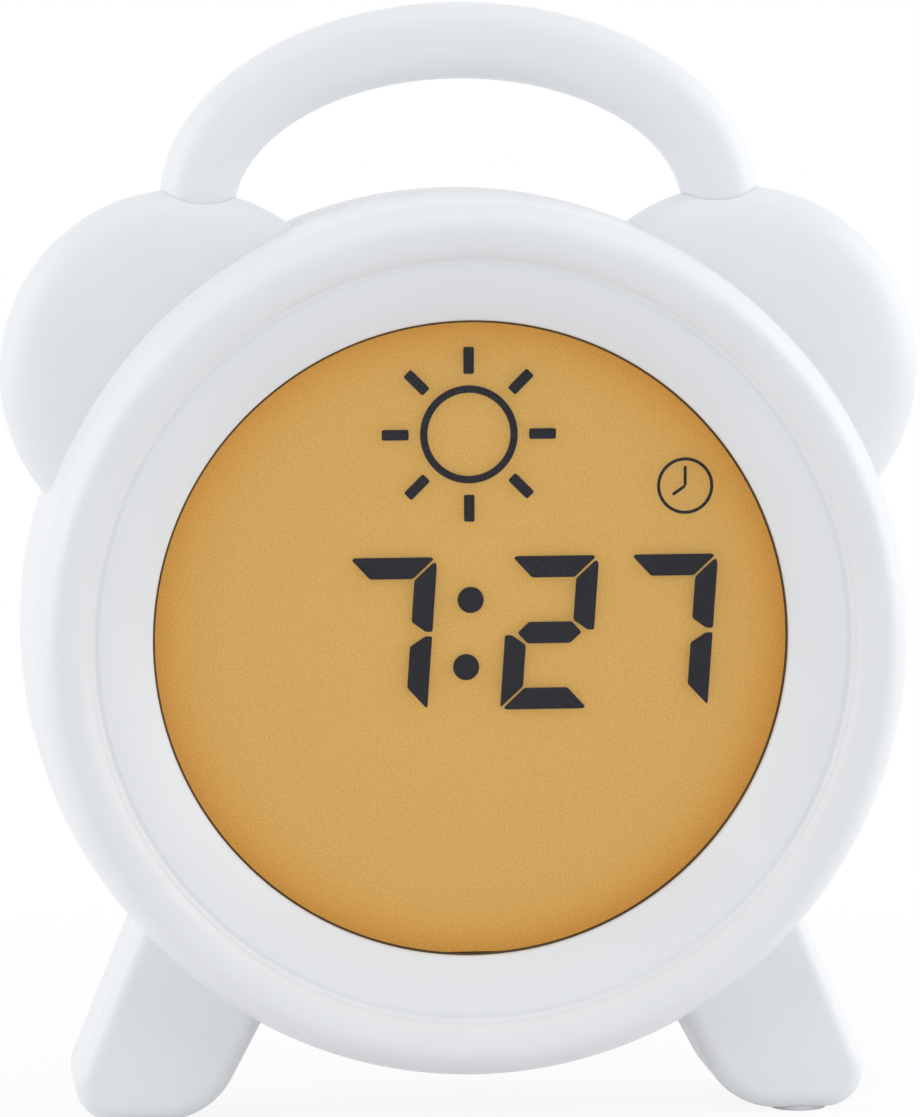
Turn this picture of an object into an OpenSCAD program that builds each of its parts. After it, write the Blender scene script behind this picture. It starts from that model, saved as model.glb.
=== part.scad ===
// Kids alarm clock with night light: a round ring front with two ears, a carrying arch and two splayed feet.
// Frame: +Z up, the face looks along -Y, +X is at the viewer's right.
// The origin is on the table, under the middle of the clock.
// Depths are counted in mm behind the crease circle of the ring, heights from the middle of the ring.

/* [Ring] */
// Outer radius of the ring at the parting line
ring_r = 62.5; // [61.5:0.1:64]
// Outer radius of the ring just behind its roll
front_r = 61.5; // [60:0.1:62]
// Radius of the ring's crown, its foremost circle
crown_r = 57.8; // [57:0.1:58.5]
// Radius of the crease between roll and funnel
crease_r = 53.4; // [52.5:0.1:54]
// How far the crown stands before the crease
roll_rise = 2.2; // [1.5:0.1:3]
// Depth at which the roll becomes the straight side
roll_back = 4; // [3:0.1:6]
// Radius of the display opening
view_r = 44.8; // [43:0.1:45]
// Depth of the opening's edge behind the crease
view_depth = 4.2; // [3.6:0.1:5]
// Thickness of the lip round the opening
lip_t = 0.8; // [0.6:0.1:1.2]
// Wall of the two shells
wall = 2; // [1.6:0.1:2.4]

/* [Depth] */
// Depth of the plane where the two shells part
part_d = 20; // [19.5:0.1:21]
// Depth of the flat back
back_d = 42.5; // [42:0.1:46]
// Rounding between the side and the flat back
back_round = 12; // [9:0.5:12.5]

/* [Ears] */
// Sideways place of each ear's middle
ear_x = 39.4; // [38:0.1:41]
// Height of each ear's middle over the middle of the ring
ear_z = 36.9; // [36:0.1:38]
// Radius of an ear
ear_r = 25.9; // [25:0.1:27]
// Thickness of an ear's front half
ear_front_t = 7.5; // [7:0.1:8.5]
// Thickness of an ear's back half
ear_back_t = 5.5; // [5.5:0.1:7]
// Rounding of an ear's rim at the front
ear_round = 5.5; // [4:0.1:6]
// Rounding of an ear's rim at the back
ear_back_round = 4; // [3:0.1:4.5]

/* [Handle] */
// Half width of the arch outside
handle_a = 42.5; // [42:0.1:43]
// Rise of the arch outside, over its own middle
handle_b = 28; // [27:0.1:32]
// Height of the outer curve's middle over the middle of the ring
handle_z = 61; // [60:0.1:62]
// Width of the arch's bar at its feet
handle_w = 10.5; // [10:0.1:11]
// Height of the bar at the top of the arch
handle_top_w = 10.8; // [10:0.1:12]
// How much lower the inner curve's middle lies
handle_drop = 1.8; // [0:0.1:3]
// Thickness of the bar from front to back
handle_depth = 10.4; // [10:0.1:11]
// Rounding of the bar's long edges
handle_round = 4.6; // [2:0.1:4.8]
// Height of the screw eye in each end of the handle
eye_z = 54; // [53.8:0.1:54.5]
// Thickness of the lug with the eye
lug_t = 4.8; // [4.4:0.1:4.8]

/* [Feet] */
// Height of the middle of the ring over the soles
foot_drop = 68; // [66:0.1:72]
// Sideways place of the outer corner, before rounding
foot_out_x = 58.7; // [57.5:0.1:60]
// Sideways place of the inner corner, before rounding
foot_in_x = 37.1; // [35:0.1:38]
// Lean of the outer edge from upright, in degrees
foot_out_lean = 22.2; // [19:0.1:24]
// Lean of the inner edge from upright, in degrees
foot_in_lean = 28; // [25:0.1:30]
// Rounding of the outer corner
foot_out_round = 5.4; // [4.5:0.1:6.5]
// Rounding of the inner corner
foot_in_round = 11; // [8:0.1:12]
// Depth of the front of the feet
foot_front_d = 6; // [5:0.1:9]
// Depth of the back of the feet
foot_back_d = 28; // [27:0.1:33]
// Rounding of the feet's front and back edges
foot_edge = 2.6; // [2:0.1:4]
// Share of the ring's radius at which a foot's outer edge ends inside the ring
foot_top_out = 0.48; // [0.45:0.01:0.55]
// Share of the ring's radius at which a foot's inner edge ends inside the ring
foot_top_in = 0.72; // [0.7:0.01:0.78]
// Radius of a rubber sole pad
pad_r = 4; // [3:0.1:4.5]
// Thickness of a sole pad
pad_t = 1.3; // [1:0.1:1.5]
// How far a pad stands out of the sole
pad_proud = 0.5; // [0.3:0.1:0.8]
// How far the pads lie in from the feet's front and back
pad_in = 5.5; // [5:0.1:6]

/* [Display] */
// How far the seat of window and display reaches beyond the opening
seat_lap = 2.2; // [1.8:0.1:2.6]
// Wall of the seat
seat_wall = 1.6; // [1.2:0.1:2]
// Depth at which the seat ends
seat_d = 12; // [10:0.5:13]
// Thickness of the black gasket
gasket_t = 0.3; // [0.2:0.1:0.5]
// How far the gasket shows inside the opening
gasket_show = 0.3; // [0.2:0.1:0.6]
// Thickness of the clear window
window_t = 1; // [0.8:0.1:1.5]
// Thickness of a polariser film
film_t = 0.2; // [0.1:0.1:0.3]
// Thickness of each display glass
glass_t = 1.1; // [0.7:0.1:1.1]
// Thickness of the layer between the glasses
cell_gap = 0.1; // [0.1:0.05:0.2]
// How much of the rear glass is cut away for the contacts
chord_cut = 1.9; // [1.6:0.05:1.95]
// How far the dark seal between the glasses shows inside the opening
seal_show = 0.1; // [0:0.05:0.3]
// Thickness of the light diffuser
diffuser_t = 1; // [0.8:0.1:1.5]
// Wall of the light tray
tray_wall = 0.8; // [0.6:0.1:1]
// Number of night light lamps behind the display
lamp_count = 6; // [4:1:8]
// Radius of the circle of lamps
lamp_circle = 28; // [20:1:34]
// Length of a contact strip
strip_l = 16; // [12:1:18]
// Thickness of a contact strip
strip_w = 0.9; // [0.6:0.1:0.9]

/* [Digits] */
// Height of a digit
digit_h = 21.7; // [18:0.1:24]
// Width of a digit
digit_w = 12.6; // [11:0.1:13]
// Width of a digit's stroke
stroke = 3.05; // [2.4:0.05:3.4]
// Half gap between two strokes
stroke_gap = 0.22; // [0.1:0.02:0.4]
// Clipped corner of a stroke
stroke_clip = 0.6; // [0.2:0.1:1]
// Slant of the digits in degrees
slant = 4.1; // [0:0.1:8]
// Height of the digits' middle
digit_z = 0.5; // [-2:0.1:2]
// Sideways place of the hour digit
hour_x = -11.6; // [-13:0.1:-11]
// Sideways place of the first minute digit
ten_x = 11.3; // [11:0.1:12]
// Sideways place of the last minute digit
unit_x = 28.2; // [27.5:0.1:29]
// Sideways place of the colon
colon_x = -0.2; // [-1:0.1:0.5]
// Radius of a colon dot
dot_r = 1.85; // [1.4:0.05:2]
// Half distance of the colon dots
dot_half = 4.75; // [4:0.05:6]
// Height of the sun symbol's middle
sun_z = 28.6; // [28:0.1:30]
// Outer radius of the sun symbol's circle
sun_r = 6.9; // [6:0.1:7.5]
// Width of the sun symbol's lines
sun_line = 1.05; // [0.6:0.05:1.4]
// Radius at which a ray starts
ray_in = 8.5; // [8.2:0.1:9]
// Radius at which a ray ends
ray_out = 12.3; // [11.5:0.1:13]
// Width of a ray
ray_w = 1.5; // [1:0.1:2]
// Number of rays
ray_count = 8; // [6:1:12]
// Sideways place of the small clock symbol
dial_x = 30.6; // [29:0.1:31]
// Height of the small clock symbol
dial_z = 21; // [20.5:0.1:22]
// Outer radius of the small clock symbol
dial_r = 4; // [3:0.1:4.2]
// Width of the small clock symbol's circle
dial_line = 0.45; // [0.3:0.05:0.6]

/* [Boards] */
// Depth of the main board's front
board_d = 16; // [15.5:0.1:16.5]
// Thickness of a circuit board
board_t = 1.6; // [1:0.1:1.6]
// Radius of a board post
board_post_r = 2.4; // [2:0.1:2.5]
// How far the main board reaches beyond the middle of its screws
board_rim = 3; // [2.6:0.1:3.5]
// Side of the controller chip
chip_s = 14; // [10:0.5:16]
// Height of the chip's middle
chip_z = 2; // [0:0.5:3]
// Thickness of the chip
chip_t = 1.6; // [1:0.1:2]
// Pitch of the chip's legs
leg_pitch = 1.1; // [0.8:0.1:1.2]
// Radius of the clock crystal's can
crystal_r = 1.5; // [1:0.1:1.6]
// Length of the clock crystal's can
crystal_l = 6; // [5:0.1:8]
// Sideways place of the crystal's near end
crystal_x = 14; // [12:0.5:16]
// Height of the crystal
crystal_z = -8; // [-9:0.5:-7]
// Radius of a capacitor
can_r = 2.5; // [2:0.1:3]
// Length of a capacitor
can_l = 5.4; // [4:0.1:7]
// Sideways place of the capacitors
can_x = 16; // [14:0.5:18]
// Height of the capacitors' place
can_z = 12; // [10:0.5:13]

/* [Speaker] */
// Room between the speaker and what lies above and under it
speaker_room = 4.4; // [3.5:0.1:6]
// Thickness of the speaker's flange
speaker_flange = 1; // [0.8:0.1:1.2]
// Depth of the speaker's basket
speaker_deep = 4.5; // [4:0.1:6]
// Radius of the speaker's magnet
magnet_r = 6.5; // [5:0.5:8]
// Thickness of the speaker's magnet
magnet_t = 2.5; // [2:0.1:4]
// Radius of a sound hole
sound_r = 0.9; // [0.6:0.1:1]
// Spacing of the sound holes
sound_step = 3.2; // [2.8:0.1:4]

/* [Batteries] */
// Number of cells
cell_count = 3; // [2:1:3]
// Radius of a cell
cell_r = 5.25; // [5:0.05:5.25]
// Length of a cell with its button
cell_l = 44.5; // [43:0.1:44.5]
// Radius of a cell's button
nub_r = 1.9; // [1.5:0.1:1.9]
// Length of a cell's button
nub_l = 1; // [0.8:0.1:1.2]
// Room between cells
cell_space = 0.5; // [0.4:0.1:1]
// Length of a pressed contact spring
spring_l = 4.6; // [4:0.1:6]
// Largest radius of a contact spring
spring_r = 3.2; // [2.6:0.1:3.6]
// Wire of a contact spring
spring_wire = 0.5; // [0.4:0.05:0.6]
// Turns of a contact spring
spring_turns = 3.5; // [2:0.5:4]
// Thickness of the contact plates
contact_t = 0.3; // [0.2:0.1:0.5]
// Wall of the battery bay
bay_wall = 1.6; // [1.2:0.1:2]
// Height of the middle of the battery bay
bay_z = -22; // [-22.5:0.1:-21]
// Thickness of the battery door
door_t = 1.4; // [1.2:0.1:1.5]
// Width of the ledge under the battery door
ledge = 1.6; // [1.2:0.1:2]
// Corner radius of the battery door
door_corner = 2.5; // [1.5:0.1:4]
// Radius of the door's screw tab
tab_r = 4.2; // [3.8:0.1:4.4]

/* [Controls] */
// Radius of a round button
button_r = 4; // [3.5:0.1:4.2]
// Room between the push switches and the board's posts
tact_room = 0.7; // [0.6:0.1:1.5]
// How far the top row of buttons lies under the light button
button_drop = 10.5; // [9.5:0.1:13]
// Distance between rows of buttons
button_step = 13; // [11:0.1:14]
// How far the buttons stand out of the back
button_proud = 0.9; // [0.8:0.1:1.2]
// Step round the outer face of a button
button_bevel = 0.4; // [0.2:0.1:0.6]
// Travel of a button
button_travel = 0.7; // [0.4:0.1:0.8]
// Flange of a button, beyond its cap
flange_w = 1; // [0.6:0.1:1.4]
// Radius of a button's plunger
plunger_r = 1.6; // [1.2:0.1:2]
// Length of the light button
light_l = 24; // [20:0.5:26]
// Width of the light button
light_w = 8; // [7:0.1:8.5]
// How far the light button lies in from the edge of the flat back
light_in = 3; // [2.5:0.1:3.5]
// Sideways place of the two slide switches
slider_x = 40; // [39:0.1:41]
// Height of the two slide switches
slider_z = -14; // [-15:0.1:-12]
// Travel of a slide switch
slider_travel = 4; // [2:0.1:4]
// Width of a slide knob
slider_w = 3; // [2.5:0.1:3.5]
// Length of a slide knob
slider_l = 3.4; // [3:0.1:4]
// Width of a slide switch's body
switch_w = 4.6; // [4:0.1:5]
// Depth of a slide switch's body
switch_t = 4.5; // [4:0.1:5]
// Thickness of a slide switch's plate
switch_plate = 0.5; // [0.4:0.1:0.6]
// Thickness of a slide knob's base
slider_base_t = 0.8; // [0.6:0.1:1]
// Side of a push switch
tact_s = 6; // [5:0.1:6.2]
// Height of a push switch
tact_h = 3.5; // [3:0.1:4.3]
// Length of a push switch's stud
tact_stud = 1; // [0.8:0.1:1.5]

/* [Charging socket] */
// Height of the charging socket
socket_z = -46.5; // [-46.8:0.1:-46]
// Width of the charging socket
socket_w = 8.9; // [8:0.1:9]
// Height of the charging socket's shell
socket_h = 3.2; // [3:0.1:3.3]
// Depth of the charging socket
socket_l = 7; // [6:0.1:7.5]
// Sheet of the socket's shell
socket_sheet = 0.3; // [0.2:0.05:0.35]

/* [Fasteners] */
// Shank radius of a case screw
screw_r = 1.5; // [1.3:0.05:1.5]
// Head radius of a case screw
head_r = 2.8; // [2.4:0.1:2.8]
// Head height of a case screw
head_h = 1.8; // [1.4:0.1:2]
// Radius of the boss round a case screw
boss_r = 2.8; // [2.6:0.1:3]
// Shank radius of a small screw
small_r = 1; // [0.8:0.05:1]
// Head radius of a small screw
small_head = 2; // [1.7:0.1:2]
// Head height of a small screw
small_head_h = 1.2; // [0.8:0.1:1.3]
// Sideways place of the screws in the feet
foot_screw_x = 42.5; // [42:0.1:44]
// Height of the screws in the feet, over the soles
foot_screw_h = 14.5; // [14:0.1:16]

/* [Clearances] */
// Gap round pieces that are laid into a seat
seat_fit = 0.2; // [0.15:0.05:0.3]
// Gap round pieces that move
run_gap = 0.3; // [0.25:0.05:0.4]
// Gap round a screw's shank
screw_gap = 0.1; // [0.05:0.05:0.2]
// Gap between the handle and its notch
notch_gap = 0.1; // [0.05:0.05:0.2]

/* [Hidden] */
$fn = 96;
sides = [-1, 1];

// Places that follow from the sizes above
centre_h = foot_drop + pad_proud;
back_most = back_d + button_proud;
y_shift = (back_most - roll_rise) / 2;
inner_back = back_d - wall;
ear_front_d = part_d - ear_front_t;
board_screw_r = view_r + seat_lap + seat_wall + board_post_r;
board_r = board_screw_r + board_rim;
ear_back_d = part_d + ear_back_t;
seat_r = view_r + seat_lap;
lip_back = view_depth + lip_t;
funnel_slope = view_depth / (crease_r - view_r);
lip_left_w = 0.51;
lip_left_h = 0.64;

// Layers of the display, from the lip backwards
window_d = lip_back + gasket_t;
film1_d = window_d + window_t;
glass1_d = film1_d + film_t;
layer_d = glass1_d + glass_t;
glass2_d = layer_d + cell_gap;
film2_d = glass2_d + glass_t;
diffuser_d = film2_d + film_t;
stack_r = seat_r - seat_fit;
chord_z = stack_r - chord_cut;
board_back = board_d + board_t;

// Wires
wire_r = 0.6;
wire_bow = 2;
wire_land = 8;

// Battery bay
bay_in_w = cell_l + spring_l + 2 * contact_t;
bay_in_h = cell_count * (2 * cell_r + cell_space) + cell_space;
bay_floor = inner_back - 2 * cell_r - 2 * cell_space;
cell_d = bay_floor + cell_space / 2 + cell_r;
door_w = bay_in_w + 2 * ledge;
door_h = bay_in_h + 2 * ledge;
door_d = back_d - door_t;
tab_z = bay_z + door_h / 2 + small_head_h;
cell_body = cell_l - nub_l;

// Controls
light_z = ring_r - back_round - light_w / 2 - light_in;
light_low = light_z - light_w / 2 - flange_w;
door_high = tab_z + tab_r;
speaker_z = (light_low + door_high) / 2;
speaker_r = (light_low - door_high) / 2 - speaker_room;
button_top = light_z - button_drop;
button_x = board_screw_r * cos(45) - board_post_r - tact_s / 2 - tact_room;
tact_top = board_back + tact_h + tact_stud;
plunger_d = tact_top + button_travel + 0.1;
slider_base_l = slider_travel + slider_l + 4;
slider_base_d = inner_back - run_gap - slider_base_t;
switch_d = slider_base_d - 0.4;
switch_post = slider_base_l / 2 + slider_travel / 2 + small_r + 1.4;
socket_d = back_d - 0.3 - socket_l;

function arc(cx, cy, rx, ry, a0, a1, n) =
    [for (i = [0:n]) let (a = a0 + (a1 - a0) * i / n) [cx + rx * cos(a), cy + ry * sin(a)]];

// Places a flat outline (x, height over the ring's middle) between two depths
module slab(d0, d1) {
    translate([0, d1 - y_shift, centre_h]) rotate([90, 0, 0]) linear_extrude(d1 - d0) children();
}

// Turns an outline (radius, depth) round the ring's own middle or another point of the face
module spun(x = 0, z = 0) {
    translate([x, -y_shift, centre_h + z]) rotate([-90, 0, 0]) rotate_extrude() children();
}

// Round rod along the depth
module rod(x, z, d0, d1, r) {
    translate([x, d0 - y_shift, centre_h + z]) rotate([-90, 0, 0]) cylinder(h = d1 - d0, r = r);
}

// Box given by its middle in x and height, its two depths and its sizes
module block(x, z, d0, d1, w, h) {
    translate([x - w / 2, d0 - y_shift, centre_h + z - h / 2]) cube([w, d1 - d0, h]);
}

// Flat outline of a rectangle with round corners
module round_rect(w, h, r) {
    polygon(concat(
        arc(w / 2 - r, h / 2 - r, r, r, 0, 90, 6),
        arc(r - w / 2, h / 2 - r, r, r, 90, 180, 6),
        arc(r - w / 2, r - h / 2, r, r, 180, 270, 6),
        arc(w / 2 - r, r - h / 2, r, r, 270, 360, 6)));
}

// ---- outer forms -------------------------------------------------------------------------------

// Radius of the circle that rises from the crease to the crown
function roll_arc_r(rise, w) = (w * w + rise * rise) / (2 * rise);

// Outline of the front ring outside: crease, crown, side
function ring_front_outer() = let (
    w = crown_r - crease_r,
    r = roll_arc_r(roll_rise, w),
    a = asin(w / r))
    concat([[0, view_depth], [view_r, view_depth]],
        arc(crown_r, r - roll_rise, r, r, 270 - a, 270, 10),
        arc(crown_r, roll_back, front_r - crown_r, roll_back + roll_rise, -81, 0, 9),
        [[ring_r, part_d], [0, part_d]]);

// Hollow of the front ring, with the seat of the display left standing
function ring_front_inner() = let (
    in_crease_r = crease_r + wall * 0.4,
    in_crease_d = wall * 0.95,
    seat_out = seat_r + seat_wall)
    concat([[0, lip_back], [seat_r, lip_back], [seat_r, seat_d], [seat_out, seat_d],
        [seat_out, in_crease_d + (in_crease_r - seat_out) * funnel_slope], [in_crease_r, in_crease_d]],
        arc(crown_r - wall * 0.1, roll_back, front_r - crown_r - wall * 0.9,
            roll_back + roll_rise - wall, -90, 0, 8),
        [[ring_r - wall, part_d], [ring_r - wall, part_d + 1], [0, part_d + 1]]);

function back_outline(cut, d0) = concat([[0, d0], [ring_r - cut, d0]],
    arc(ring_r - back_round, back_d - back_round, back_round - cut, back_round - cut, 0, 90, 16),
    [[0, back_d - cut]]);

function ear_outline(cut) = concat([[0, ear_front_d + cut]],
    arc(ear_r - ear_round, ear_front_d + ear_round, ear_round - cut, ear_round - cut, -90, 0, 10),
    arc(ear_r - ear_back_round, ear_back_d - ear_back_round, ear_back_round - cut, ear_back_round - cut, 0, 90, 8),
    [[0, ear_back_d - cut]]);

module ears(cut) {
    for (s = sides) spun(s * ear_x, ear_z) polygon(ear_outline(cut));
}

function foot_out(z) = foot_out_x - (z + foot_drop) * tan(foot_out_lean);
function foot_in(z) = foot_in_x - (z + foot_drop) * tan(foot_in_lean);

function foot_outline(cut) = let (
    top_out = -foot_top_out * ring_r,
    top_in = -foot_top_in * ring_r,
    z1 = foot_out_round - foot_drop,
    z2 = foot_in_round - foot_drop)
    concat([[foot_out(top_out) - cut / cos(foot_out_lean), top_out]],
        arc(foot_out(z1) - foot_out_round / cos(foot_out_lean), z1, foot_out_round - cut,
            foot_out_round - cut, foot_out_lean, -90, 8),
        arc(foot_in(z2) + foot_in_round / cos(foot_in_lean), z2, foot_in_round - cut,
            foot_in_round - cut, -90, foot_in_lean - 180, 8),
        [[foot_in(top_in) + cut / cos(foot_in_lean), top_in]]);

// Both feet between two depths; the steps round the edge at the front (end = -1) or at the back (end = 1)
module feet(cut, end) {
    steps = 5;
    for (s = sides, k = [0:steps - 1]) {
        a = 90 * k / steps;
        t = foot_edge * (1 - sin(a));
        d0 = end < 0 ? foot_front_d + cut + t * (foot_edge - cut) / foot_edge : part_d - 1;
        d1 = end < 0 ? part_d + 1 : foot_back_d - cut - t * (foot_edge - cut) / foot_edge;
        slab(d0, d1) mirror([s < 0 ? 1 : 0, 0])
            polygon(foot_outline(cut + (foot_edge - cut) * (1 - cos(a))));
    }
}

// ---- handle --------------------------------------------------------------------------------------

// The arch's flat outline, drawn in by cut, with its two legs down to leg_z
module arch_outline(cut, leg_z) {
    in_z = handle_z - handle_drop;
    in_a = handle_a - handle_w;
    in_b = handle_z + handle_b - handle_top_w - in_z;
    polygon(concat([[handle_a - cut, leg_z]],
        arc(0, handle_z, handle_a - cut, handle_b - cut, 0, 180, 48),
        [[cut - handle_a, leg_z], [-in_a - cut, leg_z]],
        arc(0, in_z, in_a + cut, in_b + cut, 180, 0, 40),
        [[in_a + cut, leg_z]]));
}

// The arch's bar, grown all round by gap
module arch(gap, leg_z) {
    steps = 6;
    for (k = [0:steps]) {
        a = 90 * k / steps;
        half = handle_depth / 2 - handle_round * (1 - sin(a)) + gap;
        slab(part_d - half, part_d + half) arch_outline(handle_round * (1 - cos(a)) - gap, leg_z);
    }
}

shoulder_z = ear_z + sqrt(pow(ear_r - wall, 2) - pow(handle_a - ear_x, 2)) - 1.5;
eye_x = handle_a - handle_w / 2;
lug_back = part_d - handle_depth / 2 + 1 + lug_t;

// The flat necks between the arch and its lugs, grown by gap and starting at the height z0
module lug_necks(gap, z0) {
    for (s = sides) block(s * eye_x, (z0 + shoulder_z + 1) / 2, lug_back - lug_t - gap, lug_back + gap,
        handle_w + 2 * gap, shoulder_z + 1 - z0);
}

// Room for the handle in both shells
module handle_notch() {
    arch(notch_gap, shoulder_z - notch_gap);
    lug_necks(notch_gap, eye_z + boss_r + 0.2);
}

module handle() {
    color("gainsboro") difference() {
        union() {
            arch(0, shoulder_z);
            lug_necks(0, eye_z);
            for (s = sides) rod(s * eye_x, eye_z, lug_back - lug_t, lug_back, handle_w / 2);
        }
        for (s = sides) rod(s * eye_x, eye_z, lug_back - lug_t - 1, lug_back + 1, boss_r + screw_gap);
    }
}

// ---- case screws ---------------------------------------------------------------------------------

foot_screw_z = foot_screw_h - foot_drop;
// Each row: place, depth of the boss's foot in front, depth where the bosses meet, depth under the head
case_posts = [
    [eye_x, eye_z, ear_front_d + wall / 2, lug_back + screw_gap, lug_back + 2.6],
    [foot_screw_x, foot_screw_z, foot_front_d + wall / 2, part_d, part_d + 2.6]];

module case_screws() {
    color("silver") for (s = sides, p = case_posts) {
        rod(s * p[0], p[1], p[4], p[4] + head_h, head_r);
        rod(s * p[0], p[1], p[2] + wall, p[4] + 0.01, screw_r);
    }
}

// ---- shells --------------------------------------------------------------------------------------

module front_shell() {
    color("gainsboro") difference() {
        union() {
            difference() {
                union() {
                    spun() polygon(ring_front_outer());
                    ears(0);
                    feet(0, -1);
                }
                spun() polygon(ring_front_inner());
                ears(wall);
                feet(wall, -1);
                slab(part_d, back_d + 1) square(4 * ring_r, center = true);
                rod(0, 0, view_depth - 1, lip_back + 1, view_r);
            }
            for (q = [45:90:315]) rod(board_screw_r * cos(q), board_screw_r * sin(q),
                in_funnel(board_screw_r), board_d, board_post_r);
            for (s = sides, p = case_posts) rod(s * p[0], p[1], p[2], p[3], boss_r);
        }
        handle_notch();
        for (q = [45:90:315]) rod(board_screw_r * cos(q), board_screw_r * sin(q),
            in_funnel(board_screw_r) + 3, board_d + 1, small_r + screw_gap);
        for (s = sides, p = case_posts) rod(s * p[0], p[1], p[2] + wall, p[3] + 1, screw_r + screw_gap);
        pad_holes();
    }
}

// Depth halfway through the funnel's wall at a radius
function in_funnel(r) = (crease_r - r) * funnel_slope + wall * 0.7;

module rear_shell() {
    color("gainsboro") difference() {
        union() {
            difference() {
                union() {
                    spun() polygon(back_outline(0, part_d));
                    ears(0);
                    feet(0, 1);
                }
                spun() polygon(back_outline(wall, part_d - 1));
                ears(wall);
                feet(wall, 1);
                slab(0, part_d) square(4 * ring_r, center = true);
            }
            // register lip inside the front shell
            difference() {
                union() {
                    rod(0, 0, part_d - 2.5, part_d + 3, ring_r - wall - seat_fit - 0.2);
                    rod(0, 0, part_d, part_d + 3, ring_r - wall + 0.1);
                }
                rod(0, 0, part_d - 3, part_d + 4, ring_r - wall - seat_fit - 1.4);
                for (s = sides) rod(s * ear_x, ear_z, part_d - 3, part_d + 4, ear_r);
                for (s = sides) block(s * foot_screw_x, foot_screw_z, part_d - 3, part_d + 4,
                    lip_left_w * ring_r, lip_left_h * ring_r);
            }
            // battery bay
            block(0, bay_z, bay_floor - bay_wall, inner_back + 0.1, door_w, door_h);
            rod(0, tab_z, inner_back - 7, inner_back + 0.1, small_r + 1.6);
            // speaker seat and its screw posts
            difference() {
                rod(0, speaker_z, cone_d, inner_back + 0.1, speaker_r + seat_fit + 1.2);
                rod(0, speaker_z, inner_back - 4, inner_back + 1, speaker_r + seat_fit);
            }
            for (q = [-90:120:150]) rod(speaker_post_r * cos(q), speaker_z + speaker_post_r * sin(q),
                inner_back - speaker_flange - 0.2, inner_back + 0.1, small_r + 1);
            // posts of the slide switches
            for (s = sides, t = sides) rod(s * slider_x, slider_z + t * switch_post, switch_d,
                inner_back + 0.1, small_r + 1);
            // rails of the charging socket's board
            for (s = sides) block(s * (socket_w / 2 + 4), socket_board_z, socket_d - 3, inner_back + 0.1,
                2.4, board_t + 3);
            for (s = sides, p = case_posts) rod(s * p[0], p[1], p[3], p[4] + 1, head_r + 1.4);
            for (s = sides, p = case_posts) difference() {
                rod(s * p[0], p[1], p[4], (p[1] > 0 ? ear_back_d : foot_back_d) - wall / 2, head_r + 1.4);
                rod(s * p[0], p[1], p[4], back_d, head_r + run_gap);
            }
        }
        handle_notch();
        block(0, bay_z, bay_floor, back_d + 1, bay_in_w, bay_in_h);
        slab(door_d, back_d + 1) door_outline(seat_fit);
        rod(0, tab_z, inner_back - 6, back_d, small_r + screw_gap);
        sound_holes();
        for (q = [-90:120:150]) rod(speaker_post_r * cos(q), speaker_z + speaker_post_r * sin(q),
            inner_back - 2, back_d - 0.7, small_r + screw_gap);
        for (s = sides, t = sides) rod(s * slider_x, slider_z + t * switch_post, switch_d - 1,
            inner_back + 1, small_r + screw_gap);
        for (b = buttons) rod(b[0], b[1], inner_back - 1, back_d + 1, button_r + run_gap);
        slab(inner_back - 1, back_d + 1) translate([0, light_z])
            round_rect(light_l + 2 * run_gap, light_w + 2 * run_gap, light_w / 2 + run_gap);
        for (s = sides) block(s * slider_x, slider_z, inner_back - 1, back_d + 1, slider_w + 2 * run_gap,
            slider_l + slider_travel + 2 * run_gap);
        block(0, socket_z, inner_back - 1, back_d + 1, socket_w + 2 * run_gap, socket_h + 2 * run_gap);
        block(0, socket_board_z, socket_d - 4, inner_back, socket_w + 7, board_t + 0.2);
        for (s = sides, p = case_posts) rod(s * p[0], p[1], p[3] - 1, p[4] + 1, screw_r + screw_gap);
        for (s = sides, p = case_posts) rod(s * p[0], p[1], p[4], back_d, head_r + run_gap);
        pad_holes();
    }
}

// Holes of the speaker, on rings of growing radius
module sound_holes() {
    rings = floor((speaker_r - 3) / sound_step);
    rod(0, speaker_z, inner_back - 1, back_d + 1, sound_r);
    for (k = [1:rings], i = [0:6 * k - 1]) rod(k * sound_step * cos(60 * i / k),
        speaker_z + k * sound_step * sin(60 * i / k), inner_back - 1, back_d + 1, sound_r, $fn = 16);
}

// ---- soles ---------------------------------------------------------------------------------------

pad_x = (foot_out(foot_out_round - foot_drop) - foot_out_round / cos(foot_out_lean)
    + foot_in(foot_in_round - foot_drop) + foot_in_round / cos(foot_in_lean)) / 2;
pad_depths = [foot_front_d + pad_in, foot_back_d - pad_in];

module pad_holes() {
    for (s = sides, d = pad_depths) translate([s * pad_x, d - y_shift, -1])
        cylinder(h = pad_t + 1, r = pad_r + screw_gap);
}

module sole_pads() {
    color("whitesmoke") for (s = sides, d = pad_depths) translate([s * pad_x, d - y_shift, 0])
        cylinder(h = pad_t, r = pad_r);
}

// ---- display -------------------------------------------------------------------------------------

// Disc of the display's stack, cut flat above and below for the contact strips
module cut_disc(d0, d1, r, z_cut) {
    intersection() {
        rod(0, 0, d0, d1, r);
        block(0, 0, d0 - 1, d1 + 1, 2 * r + 2, 2 * z_cut);
    }
}

module display_gasket() {
    color("black") difference() {
        rod(0, 0, lip_back, window_d, stack_r);
        rod(0, 0, lip_back - 1, window_d + 1, view_r - gasket_show);
    }
}

module display_window() {
    color([0.9, 0.95, 1, 0.3]) rod(0, 0, window_d, film1_d, stack_r);
}

module front_polariser() {
    color([0.8, 0.8, 0.7, 0.4]) rod(0, 0, film1_d, glass1_d, stack_r);
}

module front_glass() {
    color([0.8, 0.9, 0.9, 0.4]) rod(0, 0, glass1_d, layer_d, stack_r);
}

module glass_seal() {
    color("dimgray") difference() {
        cut_disc(layer_d, glass2_d, stack_r, chord_z);
        cut_disc(layer_d - 1, glass2_d + 1, view_r - seal_show, view_r - seal_show - 0.2);
    }
}

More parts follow.
